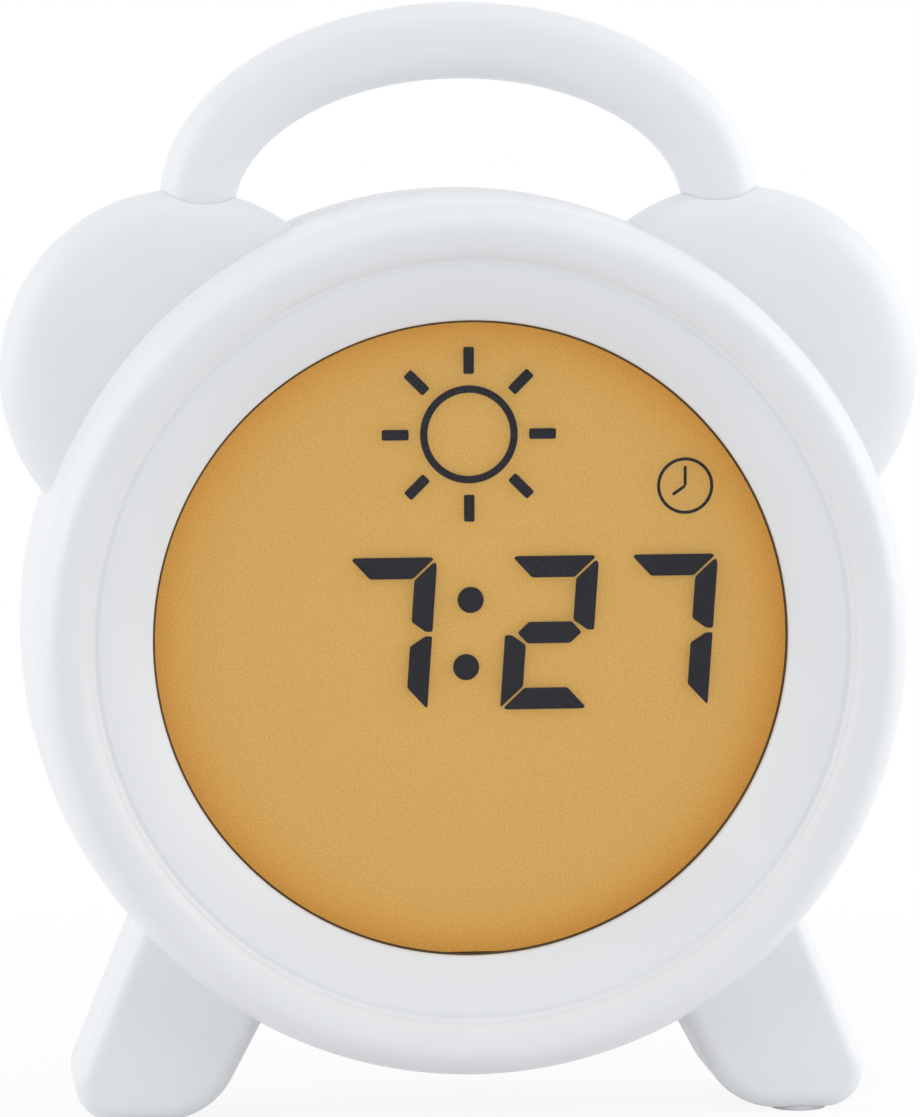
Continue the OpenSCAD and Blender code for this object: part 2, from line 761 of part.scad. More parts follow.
module rear_glass() {
    color([0.8, 0.9, 0.9, 0.4]) cut_disc(glass2_d, film2_d, stack_r, chord_z);
}

module rear_polariser() {
    color([0.8, 0.8, 0.7, 0.4]) cut_disc(film2_d, diffuser_d, stack_r, chord_z);
}

// One level stroke from its middle: end pieces are mitred; side = 1 top, -1 bottom
function cap_stroke(side) = let (w = digit_w / 2 - stroke_gap, h = digit_h / 2)
    [for (p = [[-w + stroke_clip, h], [w - stroke_clip, h], [w - stroke_clip / 2, h - stroke_clip / 2],
        [w - stroke, h - stroke], [stroke - w, h - stroke], [stroke_clip / 2 - w, h - stroke_clip / 2]])
        [p[0], side * p[1]]];

// One upright stroke: sx = 1 right, -1 left; sz = 1 upper, -1 lower
function side_stroke(sx, sz) = let (w = digit_w / 2, h = digit_h / 2 - stroke_gap)
    [for (p = [[w, h - stroke_clip], [w - stroke_clip / 2, h - stroke_clip / 2], [w - stroke, h - stroke],
        [w - stroke, stroke / 2 + stroke_gap], [w - stroke_clip * 1.6, stroke_gap * 1.4],
        [w, stroke_gap * 1.4]]) [sx * p[0], sz * p[1]]];

function mid_stroke() = let (w = digit_w / 2 - stroke / 2 - stroke_gap, f = stroke / 2)
    [[-w, 0], [f - w, f], [w - f, f], [w, 0], [w - f, -f], [f - w, -f]];

// Strokes of a digit in the order top, upper right, lower right, bottom, lower left, upper left, middle
function strokes_of(n) = n == 7 ? [1, 1, 1, 0, 0, 0, 0] : [1, 1, 0, 1, 1, 0, 1];

module digit(n) {
    shapes = [cap_stroke(1), side_stroke(1, 1), side_stroke(1, -1), cap_stroke(-1), side_stroke(-1, -1),
        side_stroke(-1, 1), mid_stroke()];
    for (i = [0:6]) if (strokes_of(n)[i] == 1)
        polygon([for (p = shapes[i]) [p[0] + p[1] * tan(slant), p[1]]]);
}

module sun_symbol() {
    difference() {
        circle(r = sun_r);
        circle(r = sun_r - sun_line);
    }
    for (i = [0:ray_count - 1]) rotate(i * 360 / ray_count + 90)
        translate([(ray_in + ray_out) / 2, 0]) square([ray_out - ray_in, ray_w], center = true);
}

module dial_symbol() {
    difference() {
        circle(r = dial_r, $fn = 48);
        circle(r = dial_r - dial_line, $fn = 48);
    }
    translate([-dial_line / 2, 0]) square([dial_line, dial_r * 0.7]);
    rotate(215) translate([0, -dial_line / 2]) square([dial_r * 0.55, dial_line]);
}

module display_segments() {
    color("black") slab(layer_d, glass2_d) {
        translate([hour_x, digit_z]) digit(7);
        translate([ten_x, digit_z]) digit(2);
        translate([unit_x, digit_z]) digit(7);
        for (s = sides) translate([colon_x + s * dot_half * tan(slant), digit_z + s * dot_half])
            circle(r = dot_r, $fn = 48);
        translate([0, sun_z]) sun_symbol();
        translate([dial_x, dial_z]) dial_symbol();
    }
}

tray_r = stack_r;
module light_diffuser() {
    color("goldenrod") cut_disc(diffuser_d, diffuser_d + diffuser_t, tray_r - tray_wall - screw_gap,
        chord_z - tray_wall - screw_gap);
}

lamp_w = 3.5;
lamp_h = 2.8;
lamp_t = 1.9;
module at_lamps() {
    for (i = [0:lamp_count - 1]) rotate([0, 360 * i / lamp_count, 0]) children();
}

module light_tray() {
    color("white") difference() {
        cut_disc(diffuser_d, board_d, tray_r, chord_z);
        cut_disc(diffuser_d - 1, diffuser_d + diffuser_t, tray_r - tray_wall, chord_z - tray_wall);
        cut_disc(diffuser_d, board_d - 1, tray_r - 2 * tray_wall, chord_z - 2 * tray_wall);
        translate([0, 0, centre_h]) at_lamps() translate([lamp_circle, board_d - y_shift, 0])
            cube([lamp_w + 1, 6, lamp_h + 1], center = true);
    }
}

module night_lamps() {
    color("lightyellow") translate([0, 0, centre_h]) at_lamps()
        translate([lamp_circle, board_d - lamp_t / 2 - y_shift, 0])
            cube([lamp_w, lamp_t, lamp_h], center = true);
}

strip_z = (chord_z + stack_r) / 2 - 0.1;
module contact_strips() {
    color("dimgray") for (s = sides) block(0, s * strip_z, layer_d, board_d, strip_l, strip_w);
}

// ---- main board ----------------------------------------------------------------------------------

buttons = [for (s = sides, k = [0:2]) [s * button_x, button_top - k * button_step]];

module main_board() {
    color("seagreen") difference() {
        rod(0, 0, board_d, board_back, board_r);
        for (q = [45:90:315]) rod(board_screw_r * cos(q), board_screw_r * sin(q), board_d - 1,
            board_back + 1, small_r + screw_gap);
    }
}

module board_screws() {
    color("silver") for (q = [45:90:315]) {
        x = board_screw_r * cos(q);
        z = board_screw_r * sin(q);
        rod(x, z, board_back, board_back + small_head_h, small_head);
        rod(x, z, in_funnel(board_screw_r) + 4, board_back + 0.01, small_r);
    }
}

module controller_chip() {
    leg_l = leg_pitch * 1.2;
    leg_w = leg_pitch * 0.36;
    leg_at = chip_s / 2 + leg_l / 2 - 0.05;
    color("black") {
        block(0, chip_z, board_back, board_back + chip_t, chip_s, chip_s);
        for (s = sides, k = [-5:5]) {
            block(s * leg_at, chip_z + k * leg_pitch, board_back, board_back + chip_t / 2, leg_l, leg_w);
            block(k * leg_pitch, chip_z + s * leg_at, board_back, board_back + chip_t / 2, leg_w, leg_l);
        }
    }
}

module clock_crystal() {
    color("silver") translate([crystal_x, board_back + crystal_r - y_shift, centre_h + crystal_z])
        rotate([0, 90, 0]) cylinder(h = crystal_l, r = crystal_r);
}

module capacitors() {
    color("steelblue") for (s = sides) rod(s * can_x, can_z, board_back, board_back + can_l, can_r);
}

module push_switches() {
    color("dimgray") for (b = concat(buttons, [[0, light_z]])) {
        block(b[0], b[1], board_back, board_back + tact_h, tact_s, tact_s);
        rod(b[0], b[1], board_back + tact_h - 0.01, tact_top, plunger_r);
    }
}

// ---- speaker -------------------------------------------------------------------------------------

speaker_post_r = speaker_r + small_r + 1.2;
speaker_front = inner_back - 0.2;
cone_d = speaker_front - speaker_flange;

speaker_back = speaker_front - speaker_deep;
rim_r = speaker_r - 1.4;
cone_t = 0.3;
cone_dome = 1.1;
cone_deep = speaker_deep - 1.9;
cone_neck = magnet_r - 2;

module speaker_basket() {
    color("gray") spun(0, speaker_z) polygon([
        [rim_r, speaker_front], [speaker_r, speaker_front], [speaker_r, cone_d], [speaker_r - 1.2, cone_d],
        [magnet_r + 1.2, speaker_back], [0, speaker_back], [0, speaker_back + 0.8],
        [magnet_r + 0.8, speaker_back + 0.8], [rim_r - 0.6, cone_d + 0.2], [rim_r, cone_d + 0.4]]);
}

module speaker_cone() {
    color("black") spun(0, speaker_z) polygon([
        [0, speaker_front - cone_t - cone_dome], [cone_neck, speaker_front - cone_t - cone_deep],
        [rim_r - 4 * cone_t, speaker_front - cone_t - 0.5], [rim_r - 0.05, speaker_front - cone_t - 0.1],
        [rim_r - 0.05, speaker_front - 0.1], [rim_r - 4 * cone_t, speaker_front - 0.5],
        [cone_neck, speaker_front - cone_deep], [0, speaker_front - cone_dome]]);
}

module speaker_magnet() {
    color("dimgray") rod(0, speaker_z, speaker_back - magnet_t, speaker_back, magnet_r);
}

module speaker_screws() {
    color("silver") for (q = [-90:120:150]) {
        x = speaker_post_r * cos(q);
        z = speaker_z + speaker_post_r * sin(q);
        rod(x, z, cone_d - small_head_h, cone_d, small_head);
        rod(x, z, cone_d - 0.01, back_d - 0.9, small_r);
    }
}

function unit(v) = v / norm(v);

// Direction of a path at its point i, halfway between the runs that meet there
function heading(p, i) =
    i == 0 ? unit(p[1] - p[0])
    : i == len(p) - 1 ? unit(p[i] - p[i - 1])
    : unit(unit(p[i] - p[i - 1]) + unit(p[i + 1] - p[i]));

// An eight-sided tube along points [x, height, depth]
module wire(points, r) {
    m = 8;
    p = [for (q = points) [q[0], q[2] - y_shift, centre_h + q[1]]];
    n = len(p) - 1;
    rings = [for (i = [0:n]) let (t = heading(p, i), u = unit(cross(t, [1, 0, 0])), w = cross(t, u))
        each [for (k = [0:m - 1]) p[i] + r * (u * cos(360 * k / m) + w * sin(360 * k / m))]];
    walls = [for (i = [0:n - 1], k = [0:m - 1]) let (a = i * m + k, b = i * m + (k + 1) % m)
        each [[a, a + m, b], [b, a + m, b + m]]];
    ends = concat([for (k = [1:m - 2]) [0, k, k + 1]], [for (k = [1:m - 2]) [n * m, n * m + k + 1, n * m + k]]);
    polyhedron(rings, concat(walls, ends));
}

module speaker_wires() {
    out = magnet_r + wire_bow + 0.5;
    color("firebrick") for (s = sides) wire([
        [s * out, speaker_z, speaker_back + 0.2],
        [s * out, speaker_z, speaker_back - wire_bow],
        [s * out, speaker_z - speaker_r / 2, board_back + 2 * wire_bow + 1],
        [s * out, speaker_z - speaker_r / 2, board_back]], wire_r);
}

// ---- batteries -----------------------------------------------------------------------------------

cell_rows = [for (k = [0:cell_count - 1]) k];
function cell_z(k) = bay_z + (k - (cell_count - 1) / 2) * (2 * cell_r + cell_space);
function cell_end(k) = k % 2 == 0 ? 1 : -1;

// Lays a piece along X: its start is at the plus end's contact plate of cell k
module along_cell(k) {
    translate([-cell_end(k) * (bay_in_w / 2 - contact_t), cell_d - y_shift, centre_h + cell_z(k)])
        rotate([0, 90 * cell_end(k), 0]) children();
}

module battery_cells() {
    color("darkorange") for (k = cell_rows) along_cell(k) {
        cylinder(h = nub_l + 0.01, r = nub_r);
        translate([0, 0, nub_l]) cylinder(h = cell_body, r = cell_r);
    }
}

module battery_contacts() {
    color("silver") for (k = cell_rows, s = sides)
        translate([s * (bay_in_w / 2 - contact_t / 2), cell_d - y_shift, centre_h + cell_z(k)])
            cube([contact_t, 2 * cell_r - 2, 2 * cell_r - 2], center = true);
}

// Points of one ring of the conical spring's wire, at the share t of its length
function spring_ring(t, sides_n) = let (
    a = 360 * spring_turns * t,
    r = spring_r * (1 - 0.35 * t),
    h = spring_wire / 2 + (spring_l - spring_wire) * t)
    [for (i = [0:sides_n - 1]) let (b = 360 * i / sides_n)
        [(r + spring_wire / 2 * cos(b)) * cos(a), (r + spring_wire / 2 * cos(b)) * sin(a),
            h + spring_wire / 2 * sin(b)]];

module contact_spring() {
    n = ceil(spring_turns * 8);
    m = 6;
    points = [for (j = [0:n]) for (p = spring_ring(j / n, m)) p];
    walls = [for (j = [0:n - 1], i = [0:m - 1]) let (a = j * m + i, b = j * m + (i + 1) % m)
        each [[a, b, a + m], [b, b + m, a + m]]];
    caps = concat([for (i = [1:m - 2]) [0, i + 1, i]],
        [for (i = [1:m - 2]) [n * m, n * m + i, n * m + i + 1]]);
    polyhedron(points, concat(walls, caps));
}

module battery_springs() {
    color("silver") for (k = cell_rows) along_cell(k)
        translate([0, 0, cell_l + spring_l]) mirror([0, 0, 1]) contact_spring();
}

module battery_wires() {
    out = door_w / 2 + wire_bow + 1;
    low = bay_z + cell_r + 0.75;
    high = low + 2 * wire_bow;
    color("firebrick") for (s = sides) wire([
        [s * (door_w / 2 + wire_r), low, bay_floor + wire_bow + 1],
        [s * out, low, bay_floor - wire_bow],
        [s * out, high, board_back + 2 * wire_bow],
        [s * out, high, board_back]], wire_r);
}

module door_outline(gap) {
    translate([0, bay_z]) round_rect(door_w + 2 * gap, door_h + 2 * gap, door_corner + gap);
    translate([0, tab_z]) circle(r = tab_r + gap);
}

module battery_door() {
    color("gainsboro") difference() {
        slab(door_d, back_d) door_outline(0);
        rod(0, tab_z, door_d - 1, back_d + 1, small_r + screw_gap);
        rod(0, tab_z, back_d - small_head_h + 0.4, back_d + 1, small_head + screw_gap);
    }
}

module door_screw() {
    color("silver") difference() {
        union() {
            rod(0, tab_z, back_d - small_head_h + 0.4, back_d - 0.1, small_head);
            rod(0, tab_z, inner_back - 5, back_d - 0.5, small_r);
        }
        block(0, tab_z, back_d - 0.5, back_d, 2.6, 0.6);
        block(0, tab_z, back_d - 0.5, back_d, 0.6, 2.6);
    }
}

// ---- controls on the back ------------------------------------------------------------------------

flange_back = inner_back - 0.1;
flange_front = flange_back - 0.9;

module push_button(x, z) {
    rod(x, z, flange_front, flange_back, button_r + flange_w);
    rod(x, z, flange_front, back_most - button_bevel, button_r);
    rod(x, z, back_most - button_bevel - 0.01, back_most, button_r - button_bevel);
    rod(x, z, plunger_d, flange_front + 0.1, plunger_r);
}

module mode_button() {
    color("lightgray") push_button(buttons[0][0], buttons[0][1]);
}
module alarm_button() {
    color("lightgray") push_button(buttons[1][0], buttons[1][1]);
}
module nap_button() {
    color("lightgray") push_button(buttons[2][0], buttons[2][1]);
}
module up_button() {
    color("lightgray") push_button(buttons[3][0], buttons[3][1]);
}
module down_button() {
    color("lightgray") push_button(buttons[4][0], buttons[4][1]);
}
module sound_button() {
    color("lightgray") push_button(buttons[5][0], buttons[5][1]);
}

module light_button() {
    color("khaki") {
        slab(flange_front, flange_back) translate([0, light_z])
            round_rect(light_l + 2 * flange_w, light_w + 2 * flange_w, light_w / 2 + flange_w);
        slab(flange_front, back_most - button_bevel) translate([0, light_z])
            round_rect(light_l, light_w, light_w / 2);
        slab(back_most - button_bevel - 0.01, back_most) translate([0, light_z])
            round_rect(light_l - 2 * button_bevel, light_w - 2 * button_bevel, light_w / 2 - button_bevel);
        rod(0, light_z, plunger_d, flange_front + 0.1, plunger_r);
    }
}

// A slide knob at the lower end of its travel: base, nub, and the fork that holds the switch's lever
module slide_knob(x) {
    z = slider_z - slider_travel / 2;
    block(x, z, slider_base_d, slider_base_d + slider_base_t, slider_w + slider_travel, slider_base_l);
    block(x, z, slider_base_d, back_most, slider_w, slider_l);
}

module alarm_slider() {
    color("dimgray") slide_knob(slider_x);
}
module volume_slider() {
    color("dimgray") slide_knob(-slider_x);
}

module slide_switches() {
    color("silver") for (s = sides) difference() {
        union() {
            block(s * slider_x, slider_z, switch_d - switch_plate, switch_d, switch_w + 1,
                2 * switch_post + 2 * small_head + 1);
            block(s * slider_x, slider_z, switch_d - switch_t, switch_d - 0.1, switch_w, slider_base_l);
        }
        for (t = sides) rod(s * slider_x, slider_z + t * switch_post, switch_d - 1, switch_d + 1,
            small_r + screw_gap);
    }
}

module switch_screws() {
    color("silver") for (s = sides, t = sides) {
        z = slider_z + t * switch_post;
        rod(s * slider_x, z, switch_d - switch_plate - small_head_h, switch_d - switch_plate, small_head);
        rod(s * slider_x, z, switch_d - switch_plate - 0.01, inner_back + 0.8, small_r);
    }
}

// ---- charging socket -----------------------------------------------------------------------------

socket_board_z = socket_z - socket_h / 2 - board_t / 2;
socket_board_in = 3;
socket_board_rim = 3.4;
socket_tongue = 0.7;

module charging_socket() {
    color("silver") {
        difference() {
            slab(socket_d, socket_d + socket_l) translate([0, socket_z])
                round_rect(socket_w, socket_h, socket_h / 2 - 0.1);
            slab(socket_d + 0.5, back_d + 1) translate([0, socket_z])
                round_rect(socket_w - 2 * socket_sheet, socket_h - 2 * socket_sheet,
                    socket_h / 2 - 0.1 - socket_sheet);
        }
        block(0, socket_z, socket_d, socket_d + socket_l - 1, socket_w - 2.2, socket_tongue);
    }
}

module socket_board() {
    color("seagreen") block(0, socket_board_z, socket_d - socket_board_in, inner_back - 0.1,
        socket_w + 2 * socket_board_rim, board_t);
}

module socket_wires() {
    top = socket_board_z + board_t / 2;
    out = socket_w / 2 - 1.5;
    land = -board_r + wire_land;
    color("firebrick") for (s = sides) wire([
        [s * out, top + wire_r, socket_d - socket_board_in + 0.2],
        [s * out, top + wire_bow, socket_d - 4 * wire_bow],
        [s * out, land, board_back + wire_bow],
        [s * out, land, board_back]], wire_r);
}

front_shell();
rear_shell();
handle();
sole_pads();
display_gasket();
display_window();
front_polariser();
front_glass();
display_segments();
glass_seal();
rear_glass();
rear_polariser();
light_diffuser();
light_tray();
night_lamps();
contact_strips();
main_board();
controller_chip();
clock_crystal();
capacitors();
push_switches();
board_screws();
speaker_basket();
speaker_cone();
speaker_magnet();
speaker_screws();
speaker_wires();
battery_cells();
battery_springs();
battery_contacts();
battery_wires();
battery_door();
door_screw();
slide_switches();
switch_screws();
charging_socket();
socket_board();
socket_wires();
case_screws();
light_button();
mode_button();
alarm_button();
nap_button();
up_button();
down_button();
sound_button();
alarm_slider();
volume_slider();
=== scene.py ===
"""Kids alarm clock with night light: smooth mouldings, display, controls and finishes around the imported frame.

Shapes are worked out in millimetres in the clock's own face coordinates: x across, d behind the crease circle of the
ring, v over the middle of the ring. place() turns them into metres in the frame.
"""

from math import asin, cos, degrees, pi, radians, sin, tan
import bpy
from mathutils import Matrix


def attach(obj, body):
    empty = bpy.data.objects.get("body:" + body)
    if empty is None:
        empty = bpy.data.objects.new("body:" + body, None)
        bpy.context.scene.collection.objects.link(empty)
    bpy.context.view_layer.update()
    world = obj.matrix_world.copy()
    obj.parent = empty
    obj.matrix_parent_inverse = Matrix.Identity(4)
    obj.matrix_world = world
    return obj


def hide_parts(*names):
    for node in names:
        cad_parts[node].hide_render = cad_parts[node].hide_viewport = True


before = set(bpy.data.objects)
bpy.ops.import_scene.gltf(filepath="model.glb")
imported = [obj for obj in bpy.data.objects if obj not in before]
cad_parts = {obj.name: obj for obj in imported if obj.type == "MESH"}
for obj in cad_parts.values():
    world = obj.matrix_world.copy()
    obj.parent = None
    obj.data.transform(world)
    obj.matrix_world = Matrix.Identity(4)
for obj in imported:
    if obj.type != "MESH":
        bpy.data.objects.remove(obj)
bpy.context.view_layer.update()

from types import SimpleNamespace

import bmesh
import bpy
import numpy as np
from bpy.props import FloatProperty, FloatVectorProperty, PointerProperty
from mathutils import Matrix, Vector

bl_info = {
    "name": "Kids alarm clock with night light",
    "version": (1, 0, 0),
    "blender": (4, 5, 0),
    "location": "3D View > Sidebar > Alarm Clock",
    "description": "Builds the mouldings, display, controls and finishes of the clock around its packed frame",
    "category": "Object",
}

SIDES = (-1, 1)
# the middle of the crease circle in the frame, in millimetres: before the origin and over the ground
DEPTH_SHIFT, CENTRE_H = 20.6, 68.5
# corners that a cut leaves closer together than this are merged, in metres
SLIVER = 2e-7


# ---- sizes and colours ----


def length(name, description, value):
    """A length property in metres, given in millimetres."""
    return FloatProperty(name=name, description=description, default=value / 1000, min=0.0, unit="LENGTH")


def colour(name, description, value):
    """A colour property, given as three sRGB numbers from 0 to 255."""
    linear = [((c / 255 + 0.055) / 1.055) ** 2.4 if c > 10 else c / 255 / 12.92 for c in value]
    return FloatVectorProperty(name=name, description=description, default=linear, size=3, min=0.0, max=1.0,
                               subtype="COLOR")


class ClockSizes(bpy.types.PropertyGroup):
    """Sizes of the mouldings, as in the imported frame."""

    ring_r: length("Ring radius", "Outer radius at the parting line", 62.5)
    front_r: length("Front radius", "Outer radius just behind the roll", 61.5)
    crown_r: length("Crown radius", "Radius of the foremost circle", 57.8)
    crease_r: length("Crease radius", "Radius of the crease between roll and funnel", 53.4)
    roll_rise: length("Roll rise", "How far the crown stands before the crease", 2.2)
    roll_back: length("Roll depth", "Depth at which the roll becomes the side", 4.0)
    view_r: length("Opening radius", "Radius of the display opening", 44.8)
    view_depth: length("Opening depth", "Depth of the opening's edge", 4.2)
    lip_back: length("Lip back", "Depth of the back of the lip", 5.0)
    lip_round: length("Lip rounding", "Rounding of the opening's edge", 0.45)
    wall: length("Wall", "Wall of the two shells", 2.0)
    part_d: length("Parting depth", "Depth of the parting plane", 20.0)
    seam: length("Seam", "Chamfer of the shells' edges at the parting plane", 0.12)
    back_d: length("Back depth", "Depth of the flat back", 42.5)
    back_round: length("Back rounding", "Rounding between side and back", 12.0)
    ear_x: length("Ear place", "Sideways place of an ear's middle", 39.4)
    ear_z: length("Ear height", "Height of an ear's middle", 36.9)
    ear_r: length("Ear radius", "Radius of an ear", 25.9)
    ear_front: length("Ear front", "Depth of an ear's front", 12.3)
    ear_back: length("Ear back", "Depth of an ear's back", 25.5)
    ear_round: length("Ear rim depth", "Depth over which the ear's rim is rounded", 5.8)
    handle_a: length("Arch half width", "Half width of the arch outside", 42.5)
    handle_b: length("Arch rise", "Rise of the arch outside", 28.0)
    handle_z: length("Arch height", "Height of the outer curve's middle", 61.0)
    handle_w: length("Bar width", "Width of the bar at its feet", 10.5)
    handle_top_w: length("Bar height", "Height of the bar at its top", 10.8)
    handle_drop: length("Inner drop", "How much lower the inner curve's middle lies", 1.8)
    handle_depth: length("Bar thickness", "Thickness of the bar from front to back", 10.4)
    shoulder_z: length("Shoulder height", "Height at which the bar ends in the ears", 59.1)
    eye_z: length("Eye height", "Height of the screw eyes", 54.0)
    foot_drop: length("Sole drop", "Height of the ring's middle over the soles", 68.0)
    foot_out_x: length("Outer corner", "Sideways place of a foot's outer corner", 58.7)
    foot_in_x: length("Inner corner", "Sideways place of a foot's inner corner", 37.1)
    foot_out_round: length("Outer rounding", "Rounding of the outer corner", 5.4)
    foot_in_round: length("Inner rounding", "Rounding of the inner corner", 11.0)
    foot_front: length("Foot front", "Depth of the feet's front", 6.0)
    foot_back: length("Foot back", "Depth of the feet's back", 28.0)
    foot_edge: length("Foot edge", "Rounding of the feet's front and back edges", 2.6)
    pad_r: length("Pad radius", "Radius of a sole pad", 4.0)
    pad_t: length("Pad thickness", "Thickness of a sole pad", 1.3)
    button_r: length("Button radius", "Radius of a round button", 4.0)
    button_top: length("Button top", "Depth of the buttons' outer faces", 43.4)


class ClockColours(bpy.types.PropertyGroup):
    """Colours of the finishes."""

    shell: colour("Shell", "White plastic of shells and handle", (236, 238, 241))
    gold: colour("Display", "Lit gold of the display's middle", (209, 164, 88))
    # rim colour: a deeper gold that is partly painted shade of the lip over the display's rim
    rim_gold_and_shade: colour("Display edge", "Deeper gold towards the display's rim", (219, 155, 68))
    segment: colour("Segments", "Dark segments of the display", (30, 30, 37))
    rubber: colour("Soles", "Soft rubber of the sole pads", (232, 233, 235))
    button: colour("Buttons", "Grey plastic of the small buttons", (196, 199, 205))
    light: colour("Light button", "Warm plastic of the night light's button", (240, 214, 150))
    steel: colour("Steel", "Plated steel of screws and contacts", (176, 177, 180))


def sizes():
    """The sizes in millimetres, as plain names."""
    group = bpy.context.scene.clock_sizes
    return SimpleNamespace(**{k: getattr(group, k) * 1000 for k in ClockSizes.__annotations__})


# ---- surfaces ----


def place(x, d, v):
    """Face coordinates in millimetres as points of the frame in metres."""
    x, d, v = np.broadcast_arrays(np.asarray(x, float), d, v)
    return np.stack([x, d - DEPTH_SHIFT, v + CENTRE_H], -1) / 1000


def circle(n):
    """The n angles 2 pi k / n."""
    return np.arange(n) * 2 * pi / n


def arc(cx, cy, rx, ry, a0, a1, n):
    """Points (cx + rx cos a, cy + ry sin a) for n angles a from a0 to a1 in degrees."""
    a = np.radians(np.linspace(a0, a1, n))
    return np.stack([cx + rx * np.cos(a), cy + ry * np.sin(a)], -1)


def bend(a, c, b, n):
    """Quadratic curve (1-t)^2 a + 2t(1-t) c + t^2 b, which leaves a towards c and reaches b from c."""
    t = np.linspace(0, 1, n)[:, None]
    return (1 - t) ** 2 * np.array(a) + 2 * t * (1 - t) * np.array(c) + t**2 * np.array(b)


def straight(a, b, n):
    """n points a + t (b - a), both ends among them."""
    return a + np.linspace(0, 1, n)[:, None] * (b - a)


def softened(points, reach, n=4):
    """The outline with each corner replaced by a quadratic curve that starts and ends within reach of it."""
    ends = []
    for step in (1, -1):
        edge = np.roll(points, step, 0) - points
        far = np.linalg.norm(edge, axis=1, keepdims=True)
        ends.append(points + edge / far * np.minimum(reach, 0.4 * far))
    return np.vstack([bend(a, c, b, n) for a, c, b in zip(ends[0], points, ends[1])])


def closed(loops, ring=False):
    """A closed solid (points, faces) through loops of shape (rows, points, 3).

    Each row closes on itself and is joined to the next one by quads. The end rows are closed to their own middle, or
    to each other when ring is true. The faces are turned outwards by the sign of the enclosed volume."""
    rows, n, _ = loops.shape
    last = rows if ring else rows - 1
    i = np.arange(last)[:, None] * n
    j = np.arange(n)[None]
    k = (j + 1) % n
    up = (i + n) % (rows * n)
    quads = np.stack([i + j, i + k, up + k, up + j], -1).reshape(-1, 4)
    points = loops.reshape(-1, 3)
    faces = [quads]
    if not ring:
        m = rows * n
        points = np.vstack([points, loops[0].mean(0), loops[-1].mean(0)])
        j, k = j[0], k[0]
        faces.append(np.stack([np.full(n, m), k, j], -1))
        faces.append(np.stack([np.full(n, m + 1), m - n + j, m - n + k], -1))
    tri = np.vstack([quads[:, [0, 1, 2]], quads[:, [0, 2, 3]]] + faces[1:])
    a, b, c = (points[tri[:, q]] for q in range(3))
    if np.einsum("ij,ij->i", a, np.cross(b, c)).sum() < 0:
        faces = [f[:, ::-1] for f in faces]
    return points, faces


def turned(profile, x=0.0, v=0.0, n=192, ring=False):
    """The profile, rows of (radius, depth), turned round the depth axis through (x, v)."""
    profile = np.asarray(profile, float)
    a = circle(n)
    r, d = profile[:, :1], profile[:, 1:]
    return closed(place(x + r * np.cos(a), d + 0 * a, v + r * np.sin(a)), ring)


def rod(x, v, d0, d1, r, n=48):
    """Plain round rod along the depth."""
    return turned([(r, d0), (r, d1)], x, v, n)


def washer(x, v, r, width, d0, d1, n):
    """Flat ring of outer radius r."""
    return turned([(r, d0), (r, d1), (r - width, d1), (r - width, d0)], x, v, n, True)


def pillow(outline, profile):
    """The flat outline(inset), rows of (x, v), stacked at each (inset, depth) of the profile."""
    return closed(np.stack([place(o[:, 0], d, o[:, 1]) for o, d in ((outline(i), d) for i, d in profile)]))


def block(x, v, d0, d1, w, h):
    """Box given by its middle, its depths, its width and its height."""
    corners = np.array([(1, 1), (-1, 1), (-1, -1), (1, -1)]) * (w / 2, h / 2) + (x, v)
    return pillow(lambda i: corners, [(0, d0), (0, d1)])


def rounded_rect(x, v, w, h, r, n=12):
    """Outline function of a rectangle with round corners, which shrinks by its inset."""
    def outline(inset):
        q = max(r - inset, 0.02)
        a, b = w / 2 - inset - q, h / 2 - inset - q
        return np.vstack([arc(x + sx * a, v + sz * b, q, q, a0, a0 + 90, n)
                          for sx, sz, a0 in ((1, 1, 0), (-1, 1, 90), (-1, -1, 180), (1, -1, 270))])
    return outline


def slab_profile(d0, d1, r, n=6):
    """(inset, depth) from d0 to d1 with an edge rounded by r at the end."""
    a = np.radians(np.linspace(0, 90, n))
    return np.vstack([[(0, d0)], np.stack([r * (1 - np.cos(a)), d1 - r * (1 - np.sin(a))], -1)])


def flare(d0, surface, e, n=6):
    """(inset, depth) of a cutting tool from d0 out through a surface, which rounds the hole's edge by e."""
    a = np.radians(np.linspace(0, 90, n))
    return np.vstack([[(0, d0)], np.stack([-e * (1 - np.cos(a)), surface - e + e * np.sin(a)], -1),
                      [(-e, surface + 1)]])


def hole(x, v, d0, surface, r, e=0.25, n=48):
    """Round cutting tool whose rim is rounded by e at the surface."""
    p = flare(d0, surface, e)
    return turned(np.stack([r - p[:, 0], p[:, 1]], -1), x, v, n)


def cut_disc(r, low, n=240):
    """Outline function of a disc of radius r, cut straight at the height -low."""
    a = circle(n)
    rim = np.stack([r * np.cos(a), np.maximum(r * np.sin(a), -low)], -1)
    return lambda inset: rim


def together(solids):
    """Several solids that don't touch, as one."""
    points, faces, start = [], [], 0
    for p, f in solids:
        points.append(p)
        faces += [g + start for g in f]
        start += len(p)
    return np.vstack(points), faces


def add(name, data):
    """An object of the data, put into the scene at the origin."""
    obj = bpy.data.objects.new(name, data)
    bpy.context.scene.collection.objects.link(obj)
    return obj


def shape(name, solid):
    """An object with the solid's points and faces."""
    mesh = bpy.data.meshes.new(name)
    mesh.from_pydata(solid[0].tolist(), [], [row for f in solid[1] for row in f.tolist()])
    return add(name, mesh)


def smooth(obj, angle=36):
    """Smooth shading, with edges sharper than the angle kept crisp."""
    obj.data.shade_smooth()
    obj.data.set_sharp_from_angle(angle=radians(angle))
    return obj


def plus(*solids):
    """Steps of carved() that join each solid on."""
    return [("UNION", solid) for solid in solids]


def minus(*solids):
    """Steps of carved() that cut each solid away."""
    return [("DIFFERENCE", solid) for solid in solids]


